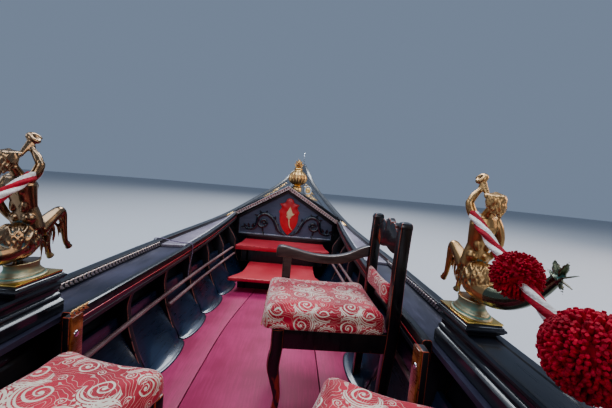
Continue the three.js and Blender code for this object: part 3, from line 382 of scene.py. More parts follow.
# A bar along a route: its radii are spread along it, and a facing direction keeps a flat section upright
def sweep(bm, path, radii, sides=8, flat=1, facing=None, twist=0, lobes=0, depth=0.15):
    path = [Vector(p) for p in path]
    radii = radii if isinstance(radii, (list, tuple)) else [radii, radii]
    rings, side = [], None
    for i, p in enumerate(path):
        way = (path[min(i + 1, len(path) - 1)] - path[max(i - 1, 0)]).normalized()
        if facing is not None:
            other = (Vector(facing) - way * way.dot(Vector(facing))).normalized()
            side = other.cross(way)
        else:
            side = (side or way.orthogonal()).normalized()
            side = (side - way * side.dot(way)).normalized()
            other = way.cross(side)
        share = i / (len(path) - 1) * (len(radii) - 1)
        k = min(int(share), len(radii) - 2)
        radius = radii[k] + (radii[k + 1] - radii[k]) * (share - k)
        ring = []
        for j in range(sides):
            a = tau * j / sides
            r = radius * (1 - depth + depth * math.cos(a * lobes)) if lobes else radius
            a += twist * i
            ring.append(p + side * math.cos(a) * r + other * math.sin(a) * r * flat)
        rings.append(ring)
    return loft(bm, rings)


def box(bm, x0, x1, y0, y1, z0, z1):
    verts = bmesh.ops.create_cube(bm, size=1)["verts"]
    bmesh.ops.scale(bm, vec=(abs(x1 - x0), abs(y1 - y0), abs(z1 - z0)), verts=verts)
    bmesh.ops.translate(bm, vec=((x0 + x1) / 2, (y0 + y1) / 2, (z0 + z1) / 2), verts=verts)
    return verts


def ball(bm, place, radii, around=16, up=10, turn=None):
    verts = bmesh.ops.create_uvsphere(bm, u_segments=around, v_segments=up, radius=1)["verts"]
    bmesh.ops.scale(bm, vec=radii if isinstance(radii, (list, tuple)) else (radii,) * 3, verts=verts)
    if turn:
        bmesh.ops.rotate(bm, cent=(0, 0, 0), matrix=turn, verts=verts)
    bmesh.ops.translate(bm, vec=place, verts=verts)
    return verts


axes = {"x": (Vector((1, 0, 0)), lambda a, b: (0, a, b)), "y": (Vector((0, 1, 0)), lambda a, b: (a, 0, b)),
        "z": (Vector((0, 0, 1)), lambda a, b: (a, b, 0))}


# An outline across an axis, extruded from one place on it to another
def plate(bm, axis, outline, low, high):
    way, lay = axes[axis]
    verts, edges = loop(bm, [Vector(lay(a, b)) + way * low for a, b in outline])
    grown = bmesh.ops.extrude_face_region(bm, geom=fill(bm, edges), use_keep_orig=True)["geom"]
    top = [g for g in grown if isinstance(g, bmesh.types.BMVert)]
    bmesh.ops.translate(bm, vec=way * (high - low), verts=top)
    return verts + top


def bar(bm, axis, rows, count=5, sides=16, square=0.35):
    way, lay = axes[axis]
    smoothRows = curve([Vector(r[:3]) for r in rows], count)
    sizes = curve([(r[3], r[4], 0) for r in rows], count)
    across = [Vector(lay(1, 0)), Vector(lay(0, 1))]
    rings = []
    for p, size in zip(smoothRows, sizes):
        ring = []
        for j in range(sides):
            a = tau * (j + 0.5) / sides
            c, s = math.cos(a), math.sin(a)
            swell = (abs(c) ** 2 + abs(s) ** 2) / max(abs(c), abs(s)) * square + (1 - square)
            ring.append(p + across[0] * c * size.x * swell + across[1] * s * size.y * swell)
        rings.append(ring)
    return loft(bm, rings)


def turned(bm, outline, sides=32, place=(0, 0, 0), stretch=(1, 1, 1)):
    old = set(bm.verts)
    verts, edges = loop(bm, [(r, 0, z) for r, z in outline], closed=False)
    bmesh.ops.spin(bm, geom=verts + edges, cent=(0, 0, 0), axis=(0, 0, 1), angle=tau, steps=sides,
                   use_merge=True, use_duplicate=False)
    made = [v for v in bm.verts if v not in old]
    bmesh.ops.scale(bm, vec=stretch, verts=made)
    bmesh.ops.translate(bm, vec=place, verts=made)
    return made


def stamp(bm, mesh, matrix):
    copy = mesh.copy()
    copy.transform(matrix)
    bm.from_mesh(copy)
    bpy.data.meshes.remove(copy)


# Operators slow down in a big mesh, so a small shape is made in a mesh of its own and then joined
def apart(bm, make, *args, **settings):
    part = newMesh()
    make(part, *args, **settings)
    mesh = bpy.data.meshes.new("part")
    part.to_mesh(mesh)
    part.free()
    bm.from_mesh(mesh)
    bpy.data.meshes.remove(mesh)


def toMesh(bm, name="part"):
    bmesh.ops.recalc_face_normals(bm, faces=bm.faces)
    mesh = bpy.data.meshes.new(name)
    bm.to_mesh(mesh)
    bm.free()
    return mesh


def mirrored(half):
    return list(half) + [(-y, z) for y, z in reversed(half) if abs(y) > 1e-6]


# Eases the edges sharper than an angle, and marks them as worn
def soften(bm, width, segments=2, sharper=32):
    bmesh.ops.remove_doubles(bm, verts=bm.verts, dist=0.02)
    worn = bm.faces.layers.float["wear"]
    edges = [e for e in bm.edges if len(e.link_faces) == 2 and e.calc_face_angle(0) > math.radians(sharper)]
    made = bmesh.ops.bevel(bm, geom=edges, offset=width, offset_type="OFFSET", segments=segments, profile=0.5,
                           affect="EDGES", clamp_overlap=True, material=-1)
    for face in made["faces"]:
        face[worn] = 1


def place(x, y, z=0, degrees=0, axis="Z"):
    return Matrix.Translation((x, y, z)) @ Matrix.Rotation(math.radians(degrees), 4, axis)


def piece(name, bm, finish, replaced=(), at=None, sharper=38, body="boat"):
    if at is not None:
        bmesh.ops.transform(bm, matrix=at, verts=bm.verts)
    bmesh.ops.remove_doubles(bm, verts=bm.verts, dist=0.02)
    bmesh.ops.recalc_face_normals(bm, faces=bm.faces)
    bmesh.ops.scale(bm, vec=(0.001, 0.001, 0.001), verts=bm.verts)
    mesh = bpy.data.meshes.new(name)
    bm.to_mesh(mesh)
    bm.free()
    for entry in [finish] if isinstance(finish, str) else finish:
        mesh.materials.append(finishes[entry].material)
    mesh.shade_smooth()
    mesh.set_sharp_from_angle(angle=math.radians(sharper))
    made = bpy.data.objects.new(name, mesh)
    scene.collection.objects.link(made)
    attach(made, body)
    if replaced:
        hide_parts(*([replaced] if isinstance(replaced, str) else replaced))
    return made


def titled(hand):
    return "port" if hand > 0 else "starboard"


# Hull lines: place, half beam at the sheer, sheer height, half breadth and height of the bottom
lines = [
    (-5300, 54, 1170, 34, 925), (-5000, 140, 1072, 52, 655), (-4500, 278, 868, 98, 368),
    (-4000, 398, 722, 160, 180), (-3500, 490, 625, 228, 45), (-3000, 560, 545, 290, -55),
    (-2500, 612, 490, 342, -122), (-2000, 650, 462, 382, -168), (-1000, 698, 446, 428, -210),
    (0, 710, 435, 440, -220), (1000, 693, 448, 425, -210), (2000, 643, 465, 375, -168),
    (2500, 602, 497, 333, -122), (3000, 545, 558, 280, -55), (3500, 468, 640, 218, 45),
    (4000, 370, 735, 152, 180), (4500, 250, 885, 92, 370), (5000, 125, 1095, 50, 660), (5300, 52, 1190, 34, 930),
]
foreRidge = [(2450, 782), (3000, 812), (3500, 852), (4000, 908), (4500, 1010), (5000, 1165), (5300, 1232)]
aftRidge = [(-5300, 1205), (-5000, 1120), (-4500, 940), (-4000, 812), (-3500, 722), (-3000, 650), (-2010, 560)]
coamingTop = [(-2010, 424), (165, 420), (1300, 424), (2000, 458), (2450, 497)]


def smooth(rows, x, index=1):
    i = 0
    while i < len(rows) - 2 and x > rows[i + 1][0]:
        i += 1
    (x0, v0), (x1, v1) = ((rows[k][0], rows[k][index]) for k in (i, i + 1))
    chord = (v1 - v0) / (x1 - x0)
    before = (v1 - rows[i - 1][index]) / (x1 - rows[i - 1][0]) if i else chord
    after = (rows[i + 2][index] - v0) / (rows[i + 2][0] - x0) if i < len(rows) - 2 else chord
    t = (x - x0) / (x1 - x0)
    return v0 + t * (v1 - v0) + t * (1 - t) * (x1 - x0) * ((1 - t) * (before - chord) + t * (chord - after))


def beamAt(x):
    return smooth(lines, x, 1)


def sheerAt(x):
    return smooth(lines, x, 2)


def flatAt(x):
    return smooth(lines, x, 3)


def keelAt(x):
    return smooth(lines, x, 4)


def centre(x):
    return -150 * abs(x / 5400) ** 3


def sideAt(x, share):
    low, high = flatAt(x), beamAt(x)
    return low + (high - low) * share + 0.2 * (high - low) * share * (1 - share)


def shareOf(x, z):
    return (z - keelAt(x)) / (sheerAt(x) - keelAt(x))


def innerHalf(x, z):
    return sideAt(x, shareOf(x, z)) - 18


def coamingMiddle(x):
    return min(515, beamAt(x) - 80)


def topOfCoaming(x):
    return smooth(coamingTop, x)


def footAt(x):
    return innerHalf(x, -20) - 52


def battenAt(x):
    return innerHalf(x, 215) - 70


# A run of one section, given as half breadths and heights, along the boat
def run(bm, places, section, hand=1):
    return loft(bm, [[(x, centre(x) + hand * y, z) for y, z in section(x)] for x in places])


hullEnd = 5300
wholeLength = spread(-hullEnd, hullEnd, 66)
openLength = spread(-2009, 2449, 66)


# Skin
hull = {"seams": (0.46, 0.62, 0.77), "seamDepth": 1.6, "planking": 18, "bottom": 22}


def bottomSection(x):
    half, low = flatAt(x), keelAt(x)
    return [(-half, low + 4), (4 - half, low), (half - 4, low), (half, low + 4), (half, low + 22), (-half, low + 22)]


def sideSection(x):
    low, high = keelAt(x), sheerAt(x)
    start, end = (22.3 + low - low) / (high - low), 1 - 46.3 / (high - low)
    shares = [start + (end - start) * k / 10 for k in range(11)]
    outer = [(sideAt(x, s), low + s * (high - low)) for s in shares]
    marks = sorted(shares + [s + shift for s in hull["seams"] for shift in (-0.006, 0, 0.006)])
    inner = []
    for s in marks:
        depth = hull["seamDepth"] if s in hull["seams"] else 0
        inner.append((sideAt(x, s) - hull["planking"] + depth, low + s * (high - low)))
    return outer + inner[::-1]


bm = newMesh()
run(bm, wholeLength, bottomSection)
piece("hullBottom", bm, "bottom", "bottom_planking")
for hand in (1, -1):
    bm = newMesh()
    run(bm, wholeLength, sideSection, hand)
    piece(titled(hand) + "Planking", bm, "lacquer", "side_planking_" + titled(hand), sharper=30)


def railSection(x):
    half, top = beamAt(x), sheerAt(x)
    inward = min(44, half - 8)
    return [(half + 4, top - 46), (half + 4, top - 14), (half + 2.5, top - 6), (half - 3, top - 1), (half - 9, top),
            (half - inward + 9, top), (half - inward + 3, top - 2), (half - inward, top - 8),
            (half - inward, top - 22), (half - inward - 2, top - 24), (half - inward - 2, top - 28),
            (half - inward, top - 30), (half - inward, top - 46)]


def postRings(way):
    rings = []
    for far, rise, share in ((5300.3, 0, 1), (5330, 22, 0.9), (5360, 55, 0.75), (5385, 105, 0.58), (5400, 150, 0.45)):
        keel, sheer = keelAt(way * hullEnd) + rise, sheerAt(way * hullEnd) + (far - hullEnd) * 0.3
        half = [(flatAt(way * hullEnd), keel), (beamAt(way * hullEnd), sheer - 6), (beamAt(way * hullEnd) - 5, sheer)]
        rings.append([(way * far, centre(far) + share * y, z) for y, z in mirrored(half)])
    return rings


for hand in (1, -1):
    bm = newMesh()
    run(bm, wholeLength, railSection, hand)
    piece(titled(hand) + "Gunwale", bm, "worn", "gunwale_rail_" + titled(hand), sharper=28)
for way, name in ((1, "stem"), (-1, "stern")):
    bm = newMesh()
    loft(bm, postRings(way))
    soften(bm, 3)
    piece(name + "Post", bm, "lacquer", name + "_post")


# Troughs between gunwale and coaming, with raised boards ahead of the middle
trough = {"below": 34, "thickness": 16, "boardFrom": (1051, 1098), "boardRise": 15}


def troughTop(x):
    inner = coamingMiddle(x) + 15.3
    return [(beamAt(x) - 44.3, sheerAt(x) - 34), (inner, topOfCoaming(x) - 12)]


def troughSection(x):
    (outer, high), (inner, low) = troughTop(x)
    top = [(outer, high), (outer - 6, high - 1.5), (inner + 6, low - 1), (inner, low)]
    return top + [(y, z - 16) for y, z in reversed(top)]


def boardSection(x, skew=0):
    (outer, high), (inner, low) = troughTop(x)
    rise = trough["boardRise"]
    return [(outer - 1, high), (outer - 1, high + rise - 3), (outer - 4, high + rise), (inner + 4, low + rise),
            (inner + 1, low + rise - 3), (inner + 1, low)]


for hand in (1, -1):
    side = titled(hand)
    bm = newMesh()
    run(bm, openLength, troughSection, hand)
    piece(side + "Trough", bm, "trough", "side_deck_" + side)
    bm = newMesh()
    rings = [[(x, centre(x) + hand * y, z) for y, z in boardSection(x)] for x in spread(1100, 2440, 60)]
    outerFrom, innerFrom = trough["boardFrom"]
    start = boardSection(1075)
    rings[0] = [(outerFrom if i < 3 else innerFrom, centre(1075) + hand * y, z) for i, (y, z) in enumerate(start)]
    loft(bm, rings)
    soften(bm, 2, 2, 25)
    piece(side + "RaisedBoard", bm, "boards", ())


# Coamings, with a thin red line and a worn lower edge
def coamingSection(x):
    middle, top = coamingMiddle(x), topOfCoaming(x)
    return [(middle - 15, top - 62), (middle - 15, top - 9), (middle - 13, top - 3), (middle - 8, top),
            (middle + 8, top), (middle + 13, top - 3), (middle + 15, top - 9), (middle + 15, top - 62)]


def strip(inset, low, high):
    def section(x):
        middle, top = coamingMiddle(x) - 15, topOfCoaming(x)
        return [(middle + 1, top + low), (middle - inset, top + low + 1), (middle - inset, top + high - 1),
                (middle + 1, top + high)]
    return section


for hand in (1, -1):
    side = titled(hand)
    places = spread(165, 2390, 60)
    bm = newMesh()
    run(bm, places, coamingSection, hand)
    soften(bm, 1.5, 2, 50)
    piece(side + "Coaming", bm, "worn", "coaming_" + side, sharper=28)
    bm = newMesh()
    run(bm, places, strip(1.2, -32, -28), hand)
    piece(side + "CoamingLine", bm, "red")
    bm = newMesh()
    run(bm, places, strip(2, -62, -46), hand)
    piece(side + "CoamingEdge", bm, "ribs")
print("skin made")


# Ribs, battens and the keel timber
frames = {"thickness": 28, "open": spread(-1690, 2150, 320), "fore": (3110, 3750, 4390),
          "aft": (-4570, -3930, -3290, -2650)}


def outerHalf(x, top):
    low = keelAt(x) + 22.4
    return [(innerHalf(x, z) - 0.4, z) for z in spread(low, top, 40)]


def openRibOutline(x):
    top = min(sheerAt(x) - 52, topOfCoaming(x) - 66)
    inside = flatCurve([(coamingMiddle(x) + 8, top), (battenAt(x) + 4, 290), (battenAt(x), 240), (battenAt(x) - 5, 190),
                        (battenAt(x) - 36, 90), (footAt(x) + 12, 15), (footAt(x), -38.5)], 5)
    outer = [(y, z) for y, z in outerHalf(x, top + 20)]
    return [(-y, z) for y, z in reversed(outer)] + outer + inside + [(-y, z) for y, z in reversed(inside)]


def closedRibOutline(x, crownRows):
    low, edge, crown = keelAt(x) + 22, sheerAt(x), smooth(crownRows, x)
    inside = [(innerHalf(x, z) - 42, z) for z in (edge - 75, (low + edge) / 2, low + 55)]
    outer = outerHalf(x, edge - 60)
    return [(-y, z) for y, z in reversed(outer)] + outer + inside + [(-y, z) for y, z in reversed(inside)]


bm = newMesh()
half = frames["thickness"] / 2
for x in frames["open"]:
    verts = plate(bm, "x", openRibOutline(x), x - half, x + half)
    bmesh.ops.translate(bm, vec=(0, centre(x), 0), verts=verts)
for key, rows in (("fore", foreRidge), ("aft", aftRidge)):
    for x in frames[key]:
        verts = plate(bm, "x", closedRibOutline(x, rows), x - half, x + half)
        bmesh.ops.translate(bm, vec=(0, centre(x), 0), verts=verts)
soften(bm, 3, 2, 50)
run(bm, spread(-4750, 4750, 130), lambda x: [(y, keelAt(x) + z) for y, z in ((-28, 23), (28, 23), (28, 70), (-28, 70))])
piece("ribs", bm, "ribs", ("frames", "ribs_fore", "ribs_aft"))

battens = [{"from": 235, "to": 2060, "inboard": 6, "height": 218}, {"from": 855, "to": 2060, "inboard": 24, "height": 166}]


def battenSection(row):
    def section(x):
        middle = battenAt(x) - row["inboard"]
        return [(middle + 11 * math.cos(a), row["height"] + 9 * math.sin(a))
                for a in (tau * (k + 0.5) / 12 for k in range(12))]
    return section


bm = newMesh()
for hand in (1, -1):
    for row in battens:
        run(bm, spread(row["from"], row["to"], 60), battenSection(row), hand)
piece("battens", bm, "battens", ())


# Hollow panels in the bays between the ribs, each with a round tongue over the floor; their black paint is tinted deep
# blue as a painted sky reflection
def scallopAt(x):
    phase = ((x - 230) % 320) / 320
    return footAt(x) - 14 - 46 * math.sqrt(max(0, 1 - (2 * phase - 1) ** 2))


for hand in (1, -1):
    side = titled(hand)
    bm = newMesh()
    for left in spread(-1690, 1830, 320):
        rings = []
        for x in spread(left + 6, left + 314, 14):
            swell = math.sqrt(max(0, 1 - (2 * (x - left) / 320 - 1) ** 2))
            foot = scallopAt(x)
            line = flatCurve([(battenAt(x) + 44, 236), (battenAt(x) + 22 + 10 * swell, 175),
                              (footAt(x) + 30 + 24 * swell, 70), (footAt(x) + 4, 4 + 8 * swell),
                              (foot + 26, -11), (foot + 4, -16), (foot, -20)], 4)
            under = [(foot, -38), (footAt(x) + 40, -38), (footAt(x) + 92, 60), (battenAt(x) + 60, 175), (battenAt(x) + 60, 236)]
            rings.append([(x, centre(x) + hand * y, z) for y, z in line + under])
        loft(bm, rings)
    for end in ((-1900, -1690), (2150, 2160)):
        run(bm, spread(*end, 40), lambda x: [(footAt(x) - 12, -20), (footAt(x) + 30, -20), (footAt(x) + 30, -38),
                                             (footAt(x) - 12, -38)], hand)
    piece(side + "Bays", bm, "bays", "floor_margin_" + side, sharper=50)
print("frames made")


# Floor boards
seams = [(-1900, 215), (-900, 258), (900, 258), (1730, 170), (2100, 140)]


def floorEdge(hand, inner, places):
    return [(x, centre(x) + hand * inner(x)) for x in places]


seamPlaces, scallopPlaces = spread(-1900, 2100, 80), spread(-1900, 2100, 10)
for hand in (1, -1):
    bm = newMesh()
    seam = floorEdge(hand, lambda x: smooth(seams, x) + 1.5, seamPlaces)
    edge = floorEdge(hand, lambda x: scallopAt(x) - 0.3, scallopPlaces)
    plate(bm, "z", seam + edge[::-1], -38, -20)
    soften(bm, 1.5, 2, 60)
    piece(titled(hand) + "FloorBoard", bm, "floor", "floor_board_" + titled(hand))
bm = newMesh()
left, right = (floorEdge(hand, lambda x: smooth(seams, x) - 1.5, seamPlaces) for hand in (1, -1))
plate(bm, "z", left + right[::-1], -38, -20)
soften(bm, 1.5, 2, 60)
piece("middleFloorBoard", bm, "floor", "floor_board_middle")


# Steps up to the fore deck
steps = {"lower": {"top": 90, "thickness": 24, "nose": 1596, "riser": 1705, "back": 2150, "half": 376, "stands": -20, "bite": 84},
         "upper": {"top": 235, "thickness": 40, "nose": 2080, "riser": 2100, "back": 2449, "half": 430, "stands": 90, "bite": 34}}
for name, row in steps.items():
    nose, back, half = row["nose"], row["back"], row["half"]
    bm = newMesh()
    edge = [(nose, half - 8)] + flatCurve([(nose + 6, half - 2), (nose + 60, half - row["bite"] * 0.3),
                                           (nose + 140, half - row["bite"] * 0.75), (nose + 240, half - row["bite"]),
                                           (back, half - row["bite"] - 2)], 6)
    plate(bm, "z", edge + [(x, -y) for x, y in reversed(edge)], row["top"] - row["thickness"], row["top"])
    soften(bm, 5, 3, 40)
    piece(name + "Step", bm, "steps", name + "_step")
    bm = newMesh()
    low, high = row["stands"] + 0.3, row["top"] - row["thickness"]
    box(bm, row["riser"], row["riser"] + 16, 60 - half, half - 60, low, high)
    for hand in (1, -1):
        box(bm, row["riser"], back - 20, hand * (half - 125), hand * (half - 107), low, high)
    soften(bm, 2)
    piece(name + "Riser", bm, "ribs", name + "_riser")
print("floor made")


# Pediment: a gabled blue-grey field in a border of the same paint over a pale sill, under a carved cornice
gable = {"face": 2450, "eaves": 470, "eavesZ": 440, "apex": 728, "foot": 285, "border": 9, "rise": 7}


def gableOutline(inset, foot=None):
    half, eaves, apex = gable["eaves"], gable["eavesZ"], gable["apex"]
    slope = math.hypot(half, apex - eaves) / half
    low = (gable["foot"] if foot is None else foot) + inset
    return [(-half + inset, low), (half - inset, low), (half - inset, eaves - inset * (slope - (apex - eaves) / half)),
            (0, apex - inset * slope), (-half + inset, eaves - inset * (slope - (apex - eaves) / half))]


bm = newMesh()
outline = [(y, z) for y, z in outerHalf(2450, 470)]
outline = [(-y, z) for y, z in reversed(outline)] + [(y, z) for y, z in outline if z > -41] + [(0, 757)]
outline = [(-620 + 0, -40)] and [(-innerHalf(2450, z) + 1, z) for z in (455, 200, -40)] + [
    (innerHalf(2450, z) - 1, z) for z in (-40, 200, 455)] + [(0, 756)]
verts = plate(bm, "x", [(y + centre(2450), z) for y, z in outline], 2450.3, 2469.7)
soften(bm, 1)
piece("pedimentBoard", bm, "lacquer", "pediment")

bm = newMesh()
field = gableOutline(gable["border"])
frameRing = gableOutline(0)
plate(bm, "x", field, 2450.2, 2444)
piece("pedimentField", bm, "panel", ())
bm = newMesh()
rings = []
for inset, x in ((0, 2450.2), (0, 2441), (3, 2438.5), (6, 2439.5), (9, 2444), (9, 2450.2)):
    rings.append([(x, y, z) for y, z in gableOutline(inset)])
loft(bm, rings + rings[:1], caps=False)
piece("pedimentBorder", bm, "panel")
bm = newMesh()
box(bm, 2438, 2450.2, 9.5 - gable["eaves"], gable["eaves"] - 9.5, gable["foot"] + 1.5, gable["foot"] + 10)
soften(bm, 2, 2)
piece("pedimentSill", bm, "pale_border")
bm = newMesh()
rings = []
for inset, x in ((-26, 2450.2), (-26, 2436), (-23, 2433), (-3, 2433), (0, 2436), (0, 2450.2)):
    rings.append([(x, y, z) for y, z in gableOutline(inset)])
loft(bm, rings + rings[:1], caps=False)
piece("pedimentFrame", bm, "lacquer")


# Cornice: a plain moulding with a band of overlapping leaves carved along each slope
def corniceRun(hand):
    foot, top = Vector((2392, hand * 512, 476)), Vector((2392, 0, 778.5))
    return foot, top


bm = newMesh()
outer, inner = [(-512, 497), (0, 800), (512, 497)], [(512, 461), (0, 762), (-512, 461)]
plate(bm, "x", outer + inner, 2398, 2449.7)
soften(bm, 5, 3)
piece("corniceBoard", bm, "lacquer", "pediment_cornice")


def leafMesh(length, width, thickness, lobes=3):
    bm = newMesh()
    rings = []
    for k in range(13):
        t = k / 12
        swell = math.sin(math.pi * min(1, t * 1.02) ** 0.8) * (0.82 + 0.18 * abs(math.cos(t * math.pi * lobes)))
        w, h = max(0.4, width * 0.5 * swell), thickness * (0.35 + 0.65 * math.sin(math.pi * t ** 0.7))
        curl = thickness * 1.2 * t * t
        rings.append([(t * length, -w, curl), (t * length, -w * 0.5, curl + h * 0.9), (t * length, 0, curl + h * 0.55),
                      (t * length, w * 0.5, curl + h * 0.9), (t * length, w, curl), (t * length, 0, curl - 1)])
    loft(bm, rings)
    return toMesh(bm, "leaf")


leaf = leafMesh(34, 26, 7)
bm = newMesh()
for hand in (1, -1):
    foot, top = corniceRun(hand)
    way = (top - foot).normalized()
    face = Vector((-1, 0, 0))
    side = face.cross(way)
    count = 24
    for i in range(count):
        at = foot.lerp(top, (i + 0.2) / count) + Vector((5, 0, 0))
        for tilt, shift in ((0.5, 0), (-0.5, 0)):
            flat = Matrix((way, side, face)).transposed().to_4x4()
            turn = Matrix.Rotation(tilt, 4, "Z")
            stamp(bm, leaf, Matrix.Translation(at) @ flat @ turn @ Matrix.Diagonal((0.85, 0.8, 1, 1)))
    sweep(bm, [foot + Vector((3, 0, 17)), top + Vector((3, 0, 19))], 3.4, 8)
    sweep(bm, [foot + Vector((3, 0, -14)), top + Vector((3, 0, -15))], 2.6, 8)
    for tilt in range(7):
        stamp(bm, leaf, Matrix.Translation((2396, hand * 500, 484)) @ Matrix.Rotation(tilt * tau / 7, 4, "X")
              @ Matrix.Rotation(-math.pi / 2, 4, "Y") @ Matrix.Rotation(0.5, 4, "Y") @ Matrix.Diagonal((0.6, 0.7, 1, 1)))
piece("corniceLeaves", bm, "antique", (), sharper=60)


# Shield: a raised board with a rolled rim, and a small leafy sprig
shieldMiddle = -25
shieldHalf = [(0, 300), (19, 317), (39, 338), (60, 366), (77, 398), (89, 434), (94, 472), (93, 500), (96, 520), (105, 537), (95, 550),
              (83, 570), (80, 586), (88, 600), (101, 616), (80, 622), (58, 627), (44, 634), (40, 646), (35, 660), (21, 673), (0, 679)]


def shieldOutline(shrink):
    middle = (0, 492)
    points = [(y * (1 - shrink / 103), middle[1] + (z - middle[1]) * (1 - shrink / 190)) for y, z in shieldHalf]
    return [(y + shieldMiddle, z) for y, z in mirrored(points)[:-1]]


bm = newMesh()
rings = [[(x, y, z) for y, z in shieldOutline(shrink)]
         for shrink, x in ((0, 2449.7), (0, 2437), (3, 2433.5), (7, 2433.5), (9, 2437), (10, 2438.5), (30, 2436), (70, 2434.5))]
loft(bm, rings)
piece("shieldBoard", bm, "red", "pediment_shield")

bm = newMesh()
sprig = {"stem": [(2434, -27, 480), (2431, -29, 440), (2432, -34, 404), (2433, -50, 372), (2433, -66, 358)]}
sweep(bm, curve(sprig["stem"], 6), [7, 6, 4, 2], 8)
upright = Matrix(((0, 0, -1, 0), (1, 0, 0, 0), (0, 1, 0, 0), (0, 0, 0, 1)))
for mesh, y, z, degrees in ((leafMesh(132, 62, 9, 2), -28, 462, 92), (leafMesh(48, 24, 7, 1), -40, 500, 150),
                            (leafMesh(40, 20, 7, 1), -30, 470, 38)):
    stamp(bm, mesh, Matrix.Translation((2434.5, y, z)) @ Matrix.Rotation(math.radians(degrees), 4, "X") @ upright)
piece("shieldSprig", bm, "cream", sharper=60)


# Black scrolls on both sides of the shield
def scrollPiece(name, hand):
    bm = newMesh()
    face = 2440

    def ribbon(points, radii):
        path = curve([(face, shieldMiddle + hand * y, z) for y, z in points], 8)
        sweep(bm, path, radii, 12, 0.85, (1, 0, 0))

    ribbon([(6, 302), (42, 308), (82, 328), (106, 356), (126, 396), (148, 440), (190, 480), (232, 498), (276, 490), (306, 456),
            (316, 400), (332, 358), (360, 340), (400, 336), (436, 348)], [5, 10, 14, 17, 19, 20, 19, 18, 19, 19, 17, 16, 14, 12, 5])
    ribbon([(310, 424), (296, 380), (262, 366), (226, 384), (218, 414), (240, 436), (270, 430), (278, 406)],
           [11, 15, 15, 14, 13, 13, 12, 9])
    ribbon([(262, 372), (256, 340), (250, 316)], [10, 9, 5])
    ribbon([(126, 396), (112, 404), (94, 396)], [12, 10, 5])
    for y, z, degrees, size in ((142, 436, 100, 1.5), (112, 352, 215, 1.4), (126, 372, 250, 1.3), (96, 340, 190, 1.2), (276, 496, 60, 1.3),
                                (306, 470, 20, 1.3), (232, 502, 110, 1.1), (318, 396, 340, 1.1), (360, 346, 105, 1.7), (392, 344, 80, 1.6),
                                (420, 346, 55, 1.5), (436, 344, 5, 1.3), (250, 320, 260, 1.2)):
        angle = degrees if hand > 0 else 180 - degrees
        turn = Matrix.Rotation(math.radians(angle), 4, "X")
        stamp(bm, leaf, Matrix.Translation((face + 3, shieldMiddle + hand * y, z)) @ turn @ upright @ Matrix.Diagonal((size, size * 0.7, 1.3, 1)))
    ball(bm, (face - 2, shieldMiddle + hand * 247, 408), (9, 15, 15), 14, 10)
    piece(name, bm, "carving", sharper=60)


for hand in (1, -1):
    scrollPiece(titled(hand) + "Scrolls", hand)
print("pediment made")


# Closed decks: crowned planks with raised mouldings that run to the peak
def crownOf(end, x):
    rows = foreRidge if end == "fore" else aftRidge
    return max(2, beamAt(x) - 44.3), sheerAt(x) - 10, smooth(rows, x)


def deckHeight(end, x, y):
    half, edge, crown = crownOf(end, x)
    t = min(1, abs(y) / half)
    return edge + (crown - edge) * (1 - 0.717 * t - 0.283 * t * t)


def deckPlanks(end, start, stop):
    bm = newMesh()
    rings = []
    for x in spread(start, stop, 60):
        half = crownOf(end, x)[0]
        across = [half * (k / 10 - 1) for k in range(21)]
        top = [(y, deckHeight(end, x, y)) for y in across]
        rings.append([(x, centre(x) + y, z) for y, z in top + [(y, z - 18) for y, z in reversed(top)]])
    loft(bm, rings)
    return bm


def deckStrips(bm, end, start, stop, shares, radius, hand):
    for share in shares:
        path = []
        for x in spread(start, stop, 60):
            y = hand * crownOf(end, x)[0] * share
            path.append((x, centre(x) + y, deckHeight(end, x, y) + radius * 0.35))
        sweep(bm, path, [radius, radius, radius * 0.6], 8)


piece("foreDeck", deckPlanks("fore", 2450.3, 5299.7), "lacquer", "fore_deck", sharper=30)
piece("sternDeck", deckPlanks("aft", -5299.7, -2010.3), "lacquer", "stern_deck", sharper=30)
bm = newMesh()
for hand in (1, -1):
    deckStrips(bm, "fore", 2456, 5150, (0.97, 0.90), 7, hand)
    deckStrips(bm, "fore", 2456, 4700, (0.16, 0.26, 0.62), 5, hand)
    deckStrips(bm, "aft", -5100, -2016, (0.97, 0.9, 0.5), 6, hand)
piece("deckMouldings", bm, "worn", sharper=60)

# Carved gilded band along the inner face of the gunwale, ahead of the plinths
def gunwaleBand(hand, start, stop, step):
    bm = newMesh()
    for i in range(int((stop - start) / step)):
        x = start + i * step
        y = beamAt(x) - 44.6
        ahead = centre(x + step) - centre(x) + hand * (beamAt(x + step) - beamAt(x))
        way = Vector((step, ahead, sheerAt(x + step) - sheerAt(x))).normalized()
        flat = Matrix((way, Vector((0, 0, 1)), Vector((0, -hand, 0)))).transposed().to_4x4()
        for tilt in (0.55, -0.55):
            stamp(bm, leaf, Matrix.Translation((x, centre(x) + hand * y, sheerAt(x) - 15)) @ flat @ Matrix.Rotation(tilt, 4, "Z")
                  @ Matrix.Diagonal((0.62, 0.5, 0.4, 1)))
    piece(titled(hand) + "GunwaleBand", bm, "antique", sharper=60)


for hand in (1, -1):
    gunwaleBand(hand, 225, 1040, 22)

